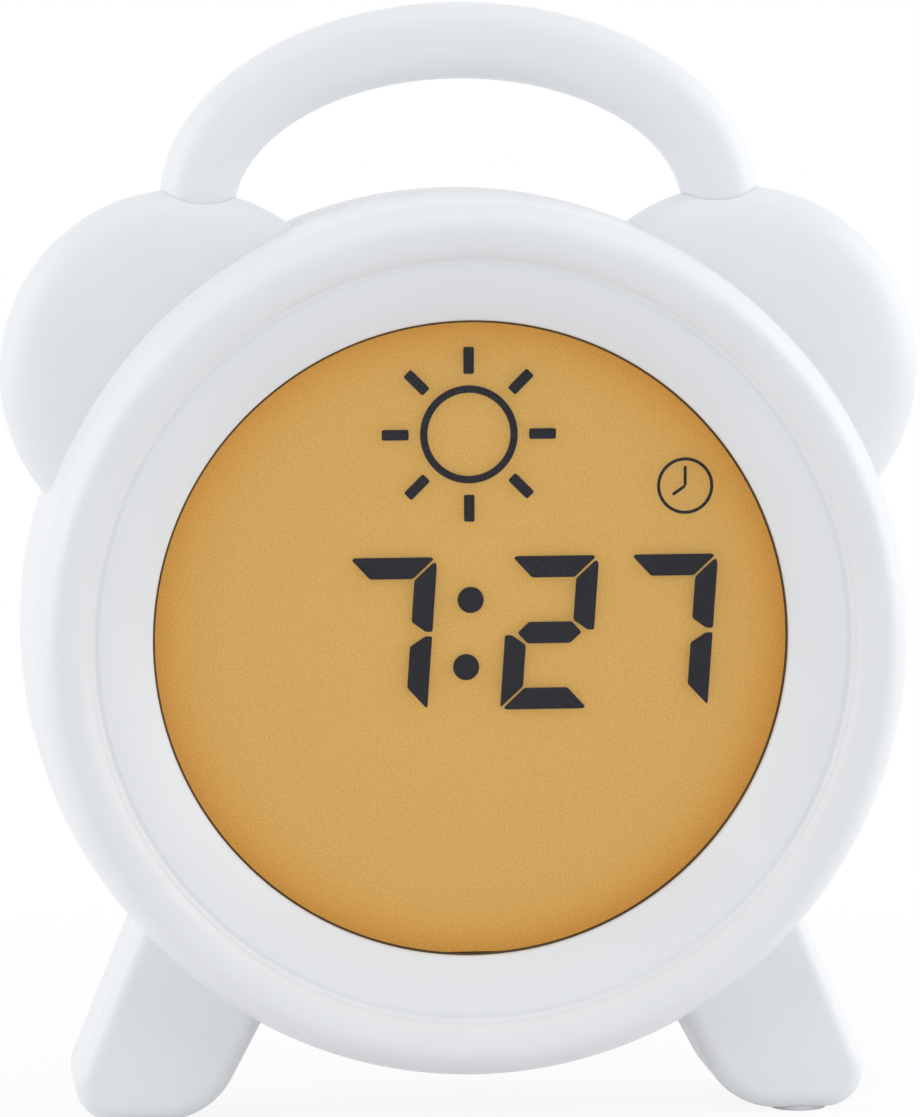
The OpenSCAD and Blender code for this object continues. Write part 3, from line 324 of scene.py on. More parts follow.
def carved(name, solid, steps):
    """The solid after each step, a way and another solid, without the slivers that the steps leave."""
    obj = shape(name, solid)
    tools = []
    for way, tool in steps:
        tools.append(shape(name + "_tool", tool))
        m = obj.modifiers.new(way, "BOOLEAN")
        m.operation, m.solver, m.object = way, "MANIFOLD", tools[-1]
    bpy.context.view_layer.update()
    mesh = bpy.data.meshes.new_from_object(obj.evaluated_get(bpy.context.evaluated_depsgraph_get()))
    obj.modifiers.clear()
    work = bmesh.new()
    work.from_mesh(mesh)
    bmesh.ops.dissolve_degenerate(work, edges=work.edges, dist=SLIVER)
    bmesh.ops.remove_doubles(work, verts=work.verts, dist=SLIVER)
    work.to_mesh(mesh)
    work.free()
    obj.data = mesh
    for t in tools:
        bpy.data.objects.remove(t)
    if len(mesh.polygons) < 8:
        raise RuntimeError(f"{name} came out empty")
    return smooth(obj)


# ---- outlines of the mouldings ----


# slopes of the funnel at the opening and at the crease, where the crown starts past the crease: all in degrees
FUNNEL_STEEP, FUNNEL_FLAT, CROWN_START = 38, 14, 7
CREASE_DIP = 0.45


def ring_front(s):
    """Outline of the front ring: opening, softly convex funnel, crease, crown and side.

    The funnel is a quadratic curve with the two slopes at its ends. The crown is an arc of radius
    (w^2 + rise^2) / (2 rise), w wide from crease to crown, then a quarter of an ellipse. The crease between them is
    a quadratic curve that dips."""
    w = s.crown_r - s.crease_r
    r = (w * w + s.roll_rise**2) / (2 * s.roll_rise)
    first = 270 - degrees(asin(w / r)) + CROWN_START
    edge, crease = np.array([s.view_r, s.view_depth]), np.array([s.crease_r, 0.0])
    steep, flat = (np.array([cos(radians(a)), -sin(radians(a))])
                   for a in (FUNNEL_STEEP, FUNNEL_FLAT))
    reach = np.linalg.solve(np.stack([steep, flat], -1), crease - edge)
    funnel = bend(edge, edge + reach[0] * steep, crease, 26)[1:-2]
    lip = bend(edge + (0, s.lip_round), edge, funnel[0], 6)
    crown = arc(s.crown_r, r - s.roll_rise, r, r, first, 270, 20)
    roll = arc(s.crown_r, s.roll_back, s.front_r - s.crown_r, s.roll_back + s.roll_rise, -84, 0, 22)
    side = np.linspace((s.front_r, s.roll_back), (s.ring_r, s.part_d - s.seam), 8)[1:]
    valley = bend(funnel[-1], crease + (0, CREASE_DIP), crown[0], 8)[1:-1]
    return np.vstack([[(s.view_r, s.lip_back + 1)], lip, funnel[1:], valley, crown, roll, side,
                      [(s.ring_r - s.seam, s.part_d)]])


# the display's seat: inner and outer radius, depth of its back
SEAT_R, SEAT_OUT, SEAT_D = 47.0, 48.6, 12.0


def ring_hollow(s):
    """Outline of the front ring's hollow, a wall behind the outside, with the display's seat left standing."""
    in_crease, in_d = s.crease_r + s.wall * 0.4, s.wall * 0.95
    slope = s.view_depth / (s.crease_r - s.view_r)
    return np.vstack([[(SEAT_R, s.lip_back), (SEAT_R, SEAT_D), (SEAT_OUT, SEAT_D),
                       (SEAT_OUT, in_d + (in_crease - SEAT_OUT) * slope), (in_crease, in_d)],
                      arc(s.crown_r - s.wall * 0.1, s.roll_back, s.front_r - s.crown_r - s.wall * 0.9,
                          s.roll_back + s.roll_rise - s.wall, -90, 0, 8),
                      [(s.ring_r - s.wall, s.part_d), (s.ring_r - s.wall, s.part_d + 1)]])


def ring_rear(s, cut, d0, chamfer=0.0):
    """Outline of the rear shell: side, large rounding, flat back, drawn in by cut."""
    r, b = s.ring_r - cut, s.back_round
    side = [(r - chamfer, d0), (r, d0 + chamfer)] if chamfer else [(r, d0)]
    mid = np.linspace((r, d0 + chamfer), (r, s.back_d - b), 4)[1:-1]
    return np.vstack([side, mid, arc(s.ring_r - b, s.back_d - b, b - cut, b - cut, 0, 90, 28)])


# power of an ear's dome, depth of the plain rim between parting plane and rear dome
EAR_POWER, EAR_RIM = 6.0, 1.2


def ear_half(s, cut, end, chamfer=0.0):
    """Outline of an ear from its face to the parting plane: end -1 is the front, 1 the back.

    The face is a flattened dome: (radius/R)^6 + (height/H)^2 = 1."""
    face = s.ear_front + cut if end < 0 else s.ear_back - cut
    h = (s.ear_round if end < 0 else s.ear_back - s.part_d - EAR_RIM) - cut
    r = s.ear_r - cut
    t = np.radians(np.concatenate([np.linspace(0.4, 12, 8)[:-1], np.linspace(12, 90, 26)]))
    dome = np.stack([r * np.sin(t) ** (2 / EAR_POWER), face - end * h * (1 - np.cos(t))], -1)
    rim = [(r, s.part_d + end * chamfer), (r - chamfer, s.part_d)] if chamfer else [(r, s.part_d - end)]
    return np.vstack([dome, rim])


# the feet's outer and inner edges: lean in degrees, height of the top end as a share of the ring's radius
OUT_LEAN, IN_LEAN = 22.2, 28.0
OUT_TOP, IN_TOP = -0.48, -0.72


def foot_x(s, z, outer):
    """Sideways place of a foot's edge at the height z."""
    corner, lean = (s.foot_out_x, OUT_LEAN) if outer else (s.foot_in_x, IN_LEAN)
    return corner - (z + s.foot_drop) * tan(radians(lean))


def foot_outline(s, side):
    """Outline function of a foot: two leaning edges and two rounded corners, drawn in by its inset."""
    ro, ri = s.foot_out_round, s.foot_in_round
    z1, z2 = ro - s.foot_drop, ri - s.foot_drop
    co, ci = cos(radians(OUT_LEAN)), cos(radians(IN_LEAN))
    top_out, top_in = OUT_TOP * s.ring_r, IN_TOP * s.ring_r

    def outline(inset):
        outer = np.array([foot_x(s, top_out, True) - inset / co, top_out])
        inner = np.array([foot_x(s, top_in, False) + inset / ci, top_in])
        round_out = arc(foot_x(s, z1, True) - ro / co, z1, ro - inset, ro - inset, OUT_LEAN, -90, 18)
        round_in = arc(foot_x(s, z2, False) + ri / ci, z2, ri - inset, ri - inset, -90, IN_LEAN - 180, 18)
        o = np.vstack([straight(outer, round_out[0], 12)[:-1], round_out,
                       straight(round_out[-1], round_in[0], 6)[1:-1], round_in,
                       straight(round_in[-1], inner, 8)[1:]])
        return o * (side, 1)
    return outline


def foot_half(s, cut, end, side, chamfer=0.0):
    """Half a foot from its front (end -1) or back (end 1) edge to the parting plane."""
    e = s.foot_edge - cut
    a = np.radians(np.linspace(0, 90, 12))
    d0 = s.foot_front + cut if end < 0 else s.foot_back - cut
    edge = np.stack([cut + e * (1 - np.sin(a)), d0 - end * e * (1 - np.cos(a))], -1)
    rim = [(0, s.part_d + end * chamfer), (chamfer, s.part_d)] if chamfer else [(cut, s.part_d - end)]
    return pillow(foot_outline(s, side), np.vstack([edge, rim]))


def limbs(s, cut, end):
    """Both ears and both feet of a shell, end -1 front or 1 rear; with a cut, the hollows that lie that far in."""
    chamfer, n = (0.0, 96) if cut else (s.seam, 160)
    ears = [turned(ear_half(s, cut, end, chamfer), side * s.ear_x, s.ear_z, n) for side in SIDES]
    return ears + [foot_half(s, cut, end, side, chamfer) for side in SIDES]


BAR_POWER = 2.4


def arch(s, gap=0.0, n=120, m=40):
    """The handle's bar: between an outer and an inner half ellipse, with a section |p|^2.4 + |q|^2.4 = 1."""
    in_z = s.handle_z - s.handle_drop
    in_a = s.handle_a - s.handle_w
    in_b = s.handle_z + s.handle_b - s.handle_top_w - in_z
    t = np.linspace(0, pi, n)
    low = s.shoulder_z - gap
    outer, inner = (np.vstack([[(a, low)], np.stack([a * np.cos(t), z + b * np.sin(t)], -1), [(-a, low)]])
                    for a, b, z in ((s.handle_a, s.handle_b, s.handle_z), (in_a, in_b, in_z)))
    middle, half = (outer + inner) / 2, (outer - inner) / 2
    width = np.linalg.norm(half, axis=1)
    half *= ((width + gap) / width)[:, None]
    p, q = (np.sign(c) * np.abs(c) ** (2 / BAR_POWER) for c in (np.cos(circle(m)), np.sin(circle(m))))
    x = middle[:, :1] + half[:, :1] * p
    v = middle[:, 1:] + half[:, 1:] * p
    d = s.part_d + (s.handle_depth / 2 + gap) * q + 0 * x
    return closed(place(x, d, v))


# ---- finishes ----


class Nodes:
    """The node tree of a material or a world, built anew."""

    def __init__(self, owner):
        owner.use_nodes = True
        self.tree = owner.node_tree
        self.tree.nodes.clear()

    def node(self, kind, *sources, **settings):
        """A node whose first inputs are joined to the sources. Settings with a capital are values of inputs."""
        made = self.tree.nodes.new("ShaderNode" + kind)
        for key, value in settings.items():
            if key[0].isupper():
                made.inputs[key.replace("_", " ")].default_value = value
            else:
                setattr(made, key, value)
        for source, entry in zip(sources, made.inputs):
            self.join(source, entry)
        return made

    def join(self, source, entry):
        self.tree.links.new(source, entry)

    def background_rays(self):
        """1 for the rays that show the white background: camera, glossy and transmission rays."""
        rays = self.node("LightPath").outputs
        seen = rays["Is Camera Ray"]
        for kind in ("Is Glossy Ray", "Is Transmission Ray"):
            seen = self.node("Math", seen, rays[kind], operation="MAXIMUM").outputs[0]
        return seen


class Finish(Nodes):
    """A procedural material: one Principled shader and the textures that feed it."""

    def __init__(self, name, **constants):
        self.mat = bpy.data.materials.new(name)
        super().__init__(self.mat)
        self.shader = self.node("BsdfPrincipled", **constants)
        self.out = self.node("OutputMaterial", self.shader.outputs[0])
        self.place = self.node("TexCoord").outputs["Object"]

    def noise(self, scale, detail=2.0):
        """Noise from 0 to 1 with features of about 1/scale metres."""
        return self.node("TexNoise", self.place, Scale=scale, Detail=detail).outputs["Fac"]

    def span(self, source, low, high, start=0.0, end=1.0):
        """The source's range start to end as low to high."""
        return self.node("MapRange", source, From_Min=start, From_Max=end, To_Min=low, To_Max=high).outputs["Result"]

    def blend(self, source, stops):
        """A colour ramp over the source; stops are (place, colour)."""
        ramp = self.node("ValToRGB", source)
        marks = ramp.color_ramp.elements
        for mark, (at, shade) in zip(marks, (stops[0], stops[-1])):
            mark.position, mark.color = at, (*shade, 1)
        for at, shade in stops[1:-1]:
            marks.new(at).color = (*shade, 1)
        return ramp.outputs["Color"]

    def tint(self, source):
        self.join(source, self.shader.inputs["Base Color"])

    def rough(self, source):
        self.join(source, self.shader.inputs["Roughness"])

    def bump(self, source, height, strength):
        b = self.node("Bump", Strength=strength, Distance=height)
        self.join(source, b.inputs["Height"])
        self.join(b.outputs["Normal"], self.shader.inputs["Normal"])


def shade(base, share):
    """The colour made lighter or darker by a share."""
    return tuple(min(1.0, c * share) for c in base)


def plastic(name, base, low, high, grain=2600.0, depth=0.00002, spread=0.012, **constants):
    """Moulded plastic: faint cloudiness in the colour, uneven gloss and a fine eroded grain."""
    f = Finish(name, **constants)
    f.tint(f.blend(f.noise(45.0, 3.0), [(0.3, shade(base, 1 - spread)), (0.7, shade(base, 1 + spread))]))
    f.rough(f.span(f.noise(160.0, 4.0), low, high, 0.3, 0.7))
    f.bump(f.noise(grain, 3.0), depth, 0.35)
    return f.mat


def metal(name, base):
    """Plated metal with fine uneven polish."""
    f = Finish(name, Metallic=1.0)
    f.tint(f.blend(f.noise(300.0, 3.0), [(0.3, shade(base, 0.9)), (0.7, shade(base, 1.06))]))
    f.rough(f.span(f.noise(1400.0, 4.0), 0.22, 0.4, 0.3, 0.7))
    f.bump(f.noise(3000.0), 0.00001, 0.3)
    return f.mat


def clear(name, base, alpha, rough=0.06):
    """Clear sheet: a low alpha, with faint smears in its gloss."""
    f = Finish(name, Alpha=alpha, IOR=1.49)
    f.tint(f.blend(f.noise(30.0), [(0.3, shade(base, 0.97)), (0.7, base)]))
    f.rough(f.span(f.noise(90.0, 3.0), rough, rough * 2.2, 0.35, 0.7))
    return f.mat


# depth of the lit plate's face, how far its gold reaches from the middle, the share of that before the gold deepens
# towards the rim, partly as painted shade of the lip
GOLD_D, GOLD_REACH, GOLD_EVEN = 9.0, 0.0455, 0.83


def gold_panel(name, middle, edge):
    """The panel lit from behind: gold in the middle, deeper towards the rim partly as painted shade of the lip over
    it, with a fine sparkle of grain.
    """
    f = Finish(name, Specular_IOR_Level=0.2, Emission_Strength=0.5)
    away = f.node("VectorMath", f.place, operation="DISTANCE")
    away.inputs[1].default_value = place(0, GOLD_D, 0)
    uneven = f.node("Math", away.outputs["Value"], f.span(f.noise(60.0), -0.001, 0.001), operation="ADD")
    # the ramp deepens the gold towards the rim: partly the panel's own tone, partly painted shade of the lip
    rim = f.blend(f.span(uneven.outputs[0], 0, 1, 0.0, GOLD_REACH),
                  [(0.0, shade(middle, 1.01)), (GOLD_EVEN, middle), (1.0, edge)])
    grain = f.blend(f.noise(3300.0), [(0.34, (0.93, 0.92, 0.9)), (0.5, (1, 1, 1)), (0.66, (1.07, 1.08, 1.1))])
    both = f.node("Mix", data_type="RGBA", blend_type="MULTIPLY", Factor=1.0)
    f.join(rim, both.inputs[6])
    f.join(grain, both.inputs[7])
    f.tint(both.outputs[2])
    f.join(both.outputs[2], f.shader.inputs["Emission Color"])
    f.rough(f.span(f.noise(2300.0), 0.5, 0.7, 0.3, 0.7))
    return f.mat


def striped(name, base, other, scale, rough, **constants):
    """Fine bands of two close shades, as on a board's tracks or a cell's sleeve."""
    f = Finish(name, **constants)
    wave = f.node("TexWave", f.place, wave_type="BANDS", bands_direction="DIAGONAL", Scale=scale, Distortion=3.0)
    f.tint(f.blend(wave.outputs["Fac"], [(0.35, base), (0.65, other)]))
    f.rough(f.span(f.noise(400.0), rough * 0.8, rough * 1.2))
    return f.mat


def finishes():
    """Every finish by the record's slot name; made once."""
    made = {m["clock_finish"]: m for m in bpy.data.materials if "clock_finish" in m}
    if made:
        return made
    c = bpy.context.scene.clock_colours
    white = tuple(c.shell)
    new = [
        plastic("shell_white", white, 0.3, 0.4, Specular_IOR_Level=0.42),
        plastic("sole_rubber", tuple(c.rubber), 0.7, 0.85, grain=1500.0, depth=0.00005, spread=0.03),
        # the gasket's dark brown matches the shadow line round the display opening: a real gasket, with painted shade
        # in its brown
        plastic("black_foam", (0.09, 0.055, 0.022), 0.85, 0.95, grain=2500.0, depth=0.0001, spread=0.2),
        clear("clear_window", (0.12, 0.12, 0.13), 0.03),
        clear("film", (0.1, 0.1, 0.1), 0.01, 0.12),
        plastic("segment_dark", tuple(c.segment), 0.45, 0.6, depth=0.000005, spread=0.05, Specular_IOR_Level=0.25),
        plastic("seal_grey", (0.2, 0.12, 0.04), 0.6, 0.7),
        gold_panel("lit_gold", tuple(c.gold), tuple(c.rim_gold_and_shade)),
        plastic("tray_white", shade(white, 0.97), 0.5, 0.6),
        striped("board_green", (0.02, 0.13, 0.05), (0.035, 0.2, 0.08), 400.0, 0.4),
        plastic("chip_black", (0.02, 0.02, 0.022), 0.5, 0.65, grain=3500.0, depth=0.00003, spread=0.2),
        metal("steel", tuple(c.steel)),
        striped("can_blue", (0.02, 0.05, 0.3), (0.04, 0.09, 0.4), 300.0, 0.35),
        plastic("wire_red", (0.45, 0.02, 0.02), 0.35, 0.5, spread=0.1),
        striped("cell_orange", (0.75, 0.24, 0.03), (0.85, 0.3, 0.05), 120.0, 0.25, Coat_Weight=0.4),
        plastic("button_grey", tuple(c.button), 0.42, 0.55, grain=1800.0, depth=0.00003),
        plastic("button_warm", tuple(c.light), 0.38, 0.5, grain=1800.0),
    ]
    for m in new:
        m["clock_finish"] = m.name.split(".")[0]
    return {m["clock_finish"]: m for m in new}


def piece(obj, body, slot, *nodes):
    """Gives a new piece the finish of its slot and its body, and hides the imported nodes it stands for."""
    obj.data.materials.clear()
    obj.data.materials.append(finishes()[slot])
    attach(obj, body)
    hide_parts(*nodes)


# ---- places of the controls ----


# a button's stem and flange: radius, overhang, depth of the stem's foot, depths of the flange's two sides
STEM_R, OVERHANG, STEM_D, FLANGE_D, FLANGE_TOP = 1.6, 1, 22.9, 39.5, 40.4
SIGN_DEEP, SIGN_LINE = 0.55, 0.55
BUTTON_X, BUTTON_ROWS = 29.962, (33.0, 20.0, 7.0)
LIGHT_Z, LIGHT_L, LIGHT_W = 43.5, 24.0, 8.0
# the slide knobs' nub, its way, and the length and the two depths of the base under it
SLIDER_X, SLIDER_Z, SLIDER_W, SLIDER_L, SLIDER_RUN = 40.0, -14.0, 3.0, 3.4, 4.0
BASE_L, BASE_D, BASE_TOP = 11.4, 39.4, 40.2
# gap round everything that moves in a hole
RUN_GAP = 0.3
SPEAKER_Z, SOUND_R, SOUND_STEP, SOUND_RINGS = 20.125, 0.9, 3.2, 4
# the battery bay and its door, with the screw's round tab
BAY_Z, BAY_W, BAY_H, BAY_FLOOR, BAY_WALL = -22.0, 49.7, 33.5, 29.0, 1.6
DOOR_W, DOOR_H, DOOR_D, DOOR_CORNER, TAB_R, TAB_Z = 52.9, 36.7, 41.1, 2.5, 4.2, -2.45
SOCKET_Z, SOCKET_W, SOCKET_H = -46.5, 8.9, 3.2
PAD_X, PAD_D = 47.187, (11.5, 22.5)
# gap of pieces that are set into a shell for good; thickness of the handle's lugs, radius of their screw eyes
SET_GAP, LUG_T, EYE_R = 0.1, 4.8, 2.9
# the case screws: head, gap round it, shank, wall of the post round the well, and floor under the head
HEAD_R, HEAD_GAP, HEAD_H, SCREW_R, POST_WALL, POST_FLOOR = 2.8, 0.3, 1.8, 1.5, 1.4, 2.6
FOOT_SCREW_X, FOOT_SCREW_UP = 42.5, 14.5
# the door screw: depth of its seat in the door, head, shank and the depth of its tip
DOOR_SEAT, DOOR_HEAD_R, DOOR_HEAD_H, DOOR_SCREW_R, DOOR_TIP = 0.8, 2.0, 0.7, 1.0, 35.5


def case_posts(s):
    """Place of each case screw's post, depth of its tip and under its head, and depth of the outside there."""
    return [(s.handle_a - s.handle_w / 2, s.eye_z, 15.5, 23.2, s.ear_back),
            (FOOT_SCREW_X, FOOT_SCREW_UP - s.foot_drop, 9.0, 22.6, s.foot_back)]


def pads(profile, n):
    """The four sole pads: the profile, rows of (radius, height over the ground), turned round upright axes."""
    a = circle(n)
    return together([closed(np.stack([place(side * PAD_X + r * np.cos(a), d + r * np.sin(a), h - CENTRE_H)
                                      for r, h in profile])) for side in SIDES for d in PAD_D])


def shell_cutters(s):
    """Room for the handle's ends and for the sole pads, in either shell."""
    r = s.pad_r + SET_GAP
    return arch(s, SET_GAP), pads([(r, -1.5), (r, s.pad_t)], 48)


# ---- operators ----


class CLOCK_OT_front_shell(bpy.types.Operator):
    """Front shell: ring, ears and feet joined into one wall with the display opening"""

    bl_idname = "clock.front_shell"
    bl_label = "Front shell"

    def execute(self, context):
        s = sizes()
        steps = plus(*limbs(s, 0, -1)) + minus(turned(ring_hollow(s)), *limbs(s, s.wall, -1), *shell_cutters(s))
        obj = carved("front_shell_moulding", turned(ring_front(s), n=320), steps)
        piece(obj, "case", "shell_white", "front_shell")
        return {"FINISHED"}


class CLOCK_OT_rear_shell(bpy.types.Operator):
    """Rear shell: back, ears and feet, with the bay and every opening of the back"""

    bl_idname = "clock.rear_shell"
    bl_label = "Rear shell"

    def execute(self, context):
        s = sizes()
        back, inside = s.back_d, s.back_d - s.wall
        posts = [(side * x, z, low, face) for side in SIDES for x, z, _, low, face in case_posts(s)]
        sound = [hole(k * SOUND_STEP * cos(pi / 3 * i / max(k, 1)),
                      SPEAKER_Z + k * SOUND_STEP * sin(pi / 3 * i / max(k, 1)),
                      inside - 1, back, SOUND_R, n=24) for k in range(SOUND_RINGS) for i in range(max(6 * k, 1))]
        buttons = [hole(side * BUTTON_X, z, inside - 1, back, s.button_r + RUN_GAP, 0.35)
                   for side in SIDES for z in BUTTON_ROWS]
        grown = 2 * RUN_GAP
        slots = [pillow(rounded_rect(x, z, w + grown, h + grown, r), flare(inside - 1, back, e))
                 for x, z, w, h, r, e in (
                     (0, LIGHT_Z, LIGHT_L, LIGHT_W, LIGHT_W / 2 + RUN_GAP, 0.35),
                     (0, SOCKET_Z, SOCKET_W, SOCKET_H, 1.6, 0.3),
                     *((side * SLIDER_X, SLIDER_Z, SLIDER_W, SLIDER_L + SLIDER_RUN, 0.5, 0.3) for side in SIDES))]
        door = pillow(rounded_rect(0, BAY_Z, DOOR_W + 0.4, DOOR_H + 0.4, DOOR_CORNER + 0.2), flare(DOOR_D, back, 0.25))
        steps = plus(*limbs(s, 0, 1)) + minus(turned(ring_rear(s, s.wall, s.part_d - 1)), *limbs(s, s.wall, 1))
        steps += plus(block(0, BAY_Z, BAY_FLOOR - BAY_WALL, inside + 0.1, DOOR_W, DOOR_H),
                      together([rod(x, z, low - POST_FLOOR, face - 1, HEAD_R + POST_WALL)
                                for x, z, low, face in posts]))
        steps += minus(*shell_cutters(s),
                       together([hole(x, z, low, face, HEAD_R + HEAD_GAP, 0.4) for x, z, low, face in posts]),
                       together([rod(x, z, low - 4, low + 0.5, SCREW_R + SET_GAP) for x, z, low, _ in posts]),
                       together(sound + buttons + slots), door,
                       hole(0, TAB_Z, DOOR_D, back, TAB_R + 0.2),
                       block(0, BAY_Z, BAY_FLOOR, back + 1, BAY_W, BAY_H),
                       rod(0, TAB_Z, inside - 6, back, DOOR_SCREW_R + SET_GAP))
        obj = carved("rear_shell_moulding", turned(ring_rear(s, 0, s.part_d, s.seam), n=320), steps)
        piece(obj, "case", "shell_white", "rear_shell")
        return {"FINISHED"}


class CLOCK_OT_handle(bpy.types.Operator):
    """Handle: a soft bar bent over the clock, with a lug and a screw eye in each ear"""

    bl_idname = "clock.handle"
    bl_label = "Handle"

    def execute(self, context):
        s = sizes()
        x, top = s.handle_a - s.handle_w / 2, s.shoulder_z + 1
        front = s.part_d - s.handle_depth / 2 + 1
        back = front + LUG_T
        steps = []
        for side in SIDES:
            steps += plus(block(side * x, (s.eye_z + top) / 2, front, back, s.handle_w, top - s.eye_z),
                          rod(side * x, s.eye_z, front, back, s.handle_w / 2 - 0.01, 64))
            steps += minus(rod(side * x, s.eye_z, front - 1, back + 1.2, EYE_R))
        piece(carved("carrying_handle", arch(s), steps), "case", "shell_white", "handle")
        return {"FINISHED"}


# depths of the display's dark strokes; lean of the digits in degrees and height of their middles
STROKE_DEPTHS, SLANT, DIGIT_V = (7.62, 7.68), 4.1, 0.5
# each digit's place and dark strokes, as stroke_shapes() lists them: 7, 2 and 7
DIGITS = ((-11.6, (0, 1, 2)), (11.3, (0, 1, 3, 4, 6)), (28.2, (0, 1, 2)))
COLON_X, DOT_UP, DOT_R = -0.2, 4.75, 1.85
# sun and small dial: x, v, radius and line of the circle, then angle, start, stop and half width of each bar
SIGNS = (((0, 28.6, 6.9, 1.05), [(45 * k, 8.5, 12.3, 0.75) for k in range(8)]),
         ((30.6, 21.0, 4.0, 0.45), [(90, 0, 2.8, 0.22), (215, 0, 2.2, 0.22)]))
# rear film and lit plate: radius, height of the cut below the middle, depths of front and back
LIT_SHEETS = ((46.75, 44.85, 8.8, 8.97), (45.95, 44.05, GOLD_D, 9.98))
# radius of the front glass; depths of its front, its back, the rear glass's front and its back
GLASS_R, GLASS_DEPTHS = 46.8, (6.35, 7.6, 7.7, 8.78)
SEAL_R, SEAL_W, SEAL_D0, SEAL_D1 = 46.75, 1.8, 7.61, 7.69


def stroke_shapes():
    """The seven strokes of a digit round its middle: top, upper right, lower right, bottom, lower left, upper left,
    middle. Gaps part them at 45 degrees, bars have clipped ends, and the uprights' outer corners are rounded."""
    w, h, line, gap, clip = 6.3, 10.85, 3.05, 0.22, 0.6

    def cap(side):
        q = w - gap
        return [(x, side * z) for x, z in ((clip - q, h), (q - clip, h), (q - clip / 2, h - clip / 2),
                                           (q - line, h - line), (line - q, h - line), (clip / 2 - q, h - clip / 2))]

    def upright(sx, sz):
        q = h - gap
        reach = 2.4 * clip if sz > 0 else clip
        corner = bend((w, q - reach), (w, q), (w - 0.6 * reach, q - 0.6 * reach), 6)
        return np.vstack([corner, [(w - line, q - line), (w - line, line / 2 + gap), (w - 1.6 * clip, 1.4 * gap),
                                   (w, 1.4 * gap)]]) * (sx, sz)

    q, f = w - line / 2 - gap, line / 2
    middle = [(-q, 0), (f - q, f), (q - f, f), (q, 0), (q - f, -f), (f - q, -f)]
    return [cap(1), upright(1, 1), upright(1, -1), cap(-1), upright(-1, -1), upright(-1, 1), middle]


class CLOCK_OT_display(bpy.types.Operator):
    """Display: the dark strokes between the glasses and the lit gold panel behind them"""

    bl_idname = "clock.display"
    bl_label = "Display"

    def execute(self, context):
        slant = tan(radians(SLANT))
        strokes = [np.array(o) @ ((1, 0), (slant, 1)) for o in stroke_shapes()]

        def stroke(points):
            outline = softened(points, 0.3)
            return pillow(lambda i: outline, [(0, d) for d in STROKE_DEPTHS])

        def bar(at, angle, start, stop, half):
            u = np.array([cos(radians(angle)), sin(radians(angle))])
            w = np.array([-u[1], u[0]])
            ends = (start, -half), (stop, -half), (stop, half), (start, half)
            return stroke(np.array([at + u * p + w * q for p, q in ends]))

        solids = [stroke(strokes[k] + (x, DIGIT_V)) for x, on in DIGITS for k in on]
        solids += [rod(COLON_X + side * DOT_UP * slant, DIGIT_V + side * DOT_UP, *STROKE_DEPTHS, DOT_R, 64)
                   for side in SIDES]
        solids += [washer(*ring, *STROKE_DEPTHS, 96) for ring, _ in SIGNS]
        solids += [bar(ring[:2], *values) for ring, bars in SIGNS for values in bars]
        piece(shape("display_strokes", together(solids)), "case", "segment_dark", "display_segments")
        panel = together([pillow(cut_disc(r, low), [(0, d0), (0, d1)]) for r, low, d0, d1 in LIT_SHEETS])
        piece(smooth(shape("lit_panel", panel)), "case", "lit_gold", "light_diffuser", "rear_polariser")
        sheets = cut_disc(GLASS_R, GLASS_R), cut_disc(*LIT_SHEETS[0][:2])
        glass = pillow(lambda rear: sheets[rear](0), list(zip((0, 0, 1, 1), GLASS_DEPTHS)))
        piece(smooth(shape("display_glass", glass)), "case", "film", "front_polariser", "front_glass", "rear_glass")
        seal = washer(0, 0, SEAL_R, SEAL_W, SEAL_D0, SEAL_D1, 192)
        piece(smooth(shape("glass_seal_ring", seal)), "case", "seal_grey", "glass_seal")
        return {"FINISHED"}


def sign_cutters(name, x, z, d0, d1):
    """Cutters of a round button's sunk sign: a ring, a clock, a crescent, a plus, a minus or bars."""
    def ring(r):
        return washer(x, z, r, SIGN_LINE, d0, d1, 64)

    def bar(u, v, w, h):
        return block(x + u, z + v, d0, d1, w, h)

    rims = (arc(x, z, 1.9, 1.9, 54, 306, 28), arc(x + 1.35, z, 1.46, 1.46, 98, 262, 28))
    crescent = np.stack([place(rims[k][:, 0], d, rims[k][:, 1]) for k, d in ((0, d0), (0, d1), (1, d1), (1, d0))], 1)
    return {"mode": [ring(1.8)],
            "alarm": [ring(2.1), bar(0, 0.55, 0.45, 1.2), bar(-0.35, -0.05, 0.9, 0.45)],
            "nap": [closed(crescent)],
            "up": [bar(0, 0, 3.4, SIGN_LINE), bar(0, 0, SIGN_LINE, 3.4)],
            "down": [bar(0, 0, 3.4, SIGN_LINE)],
            "sound": [bar(1.2 - 1.2 * k, 0.5 * k - 0.5, 0.7, 1.4 + k) for k in range(3)]}[name]


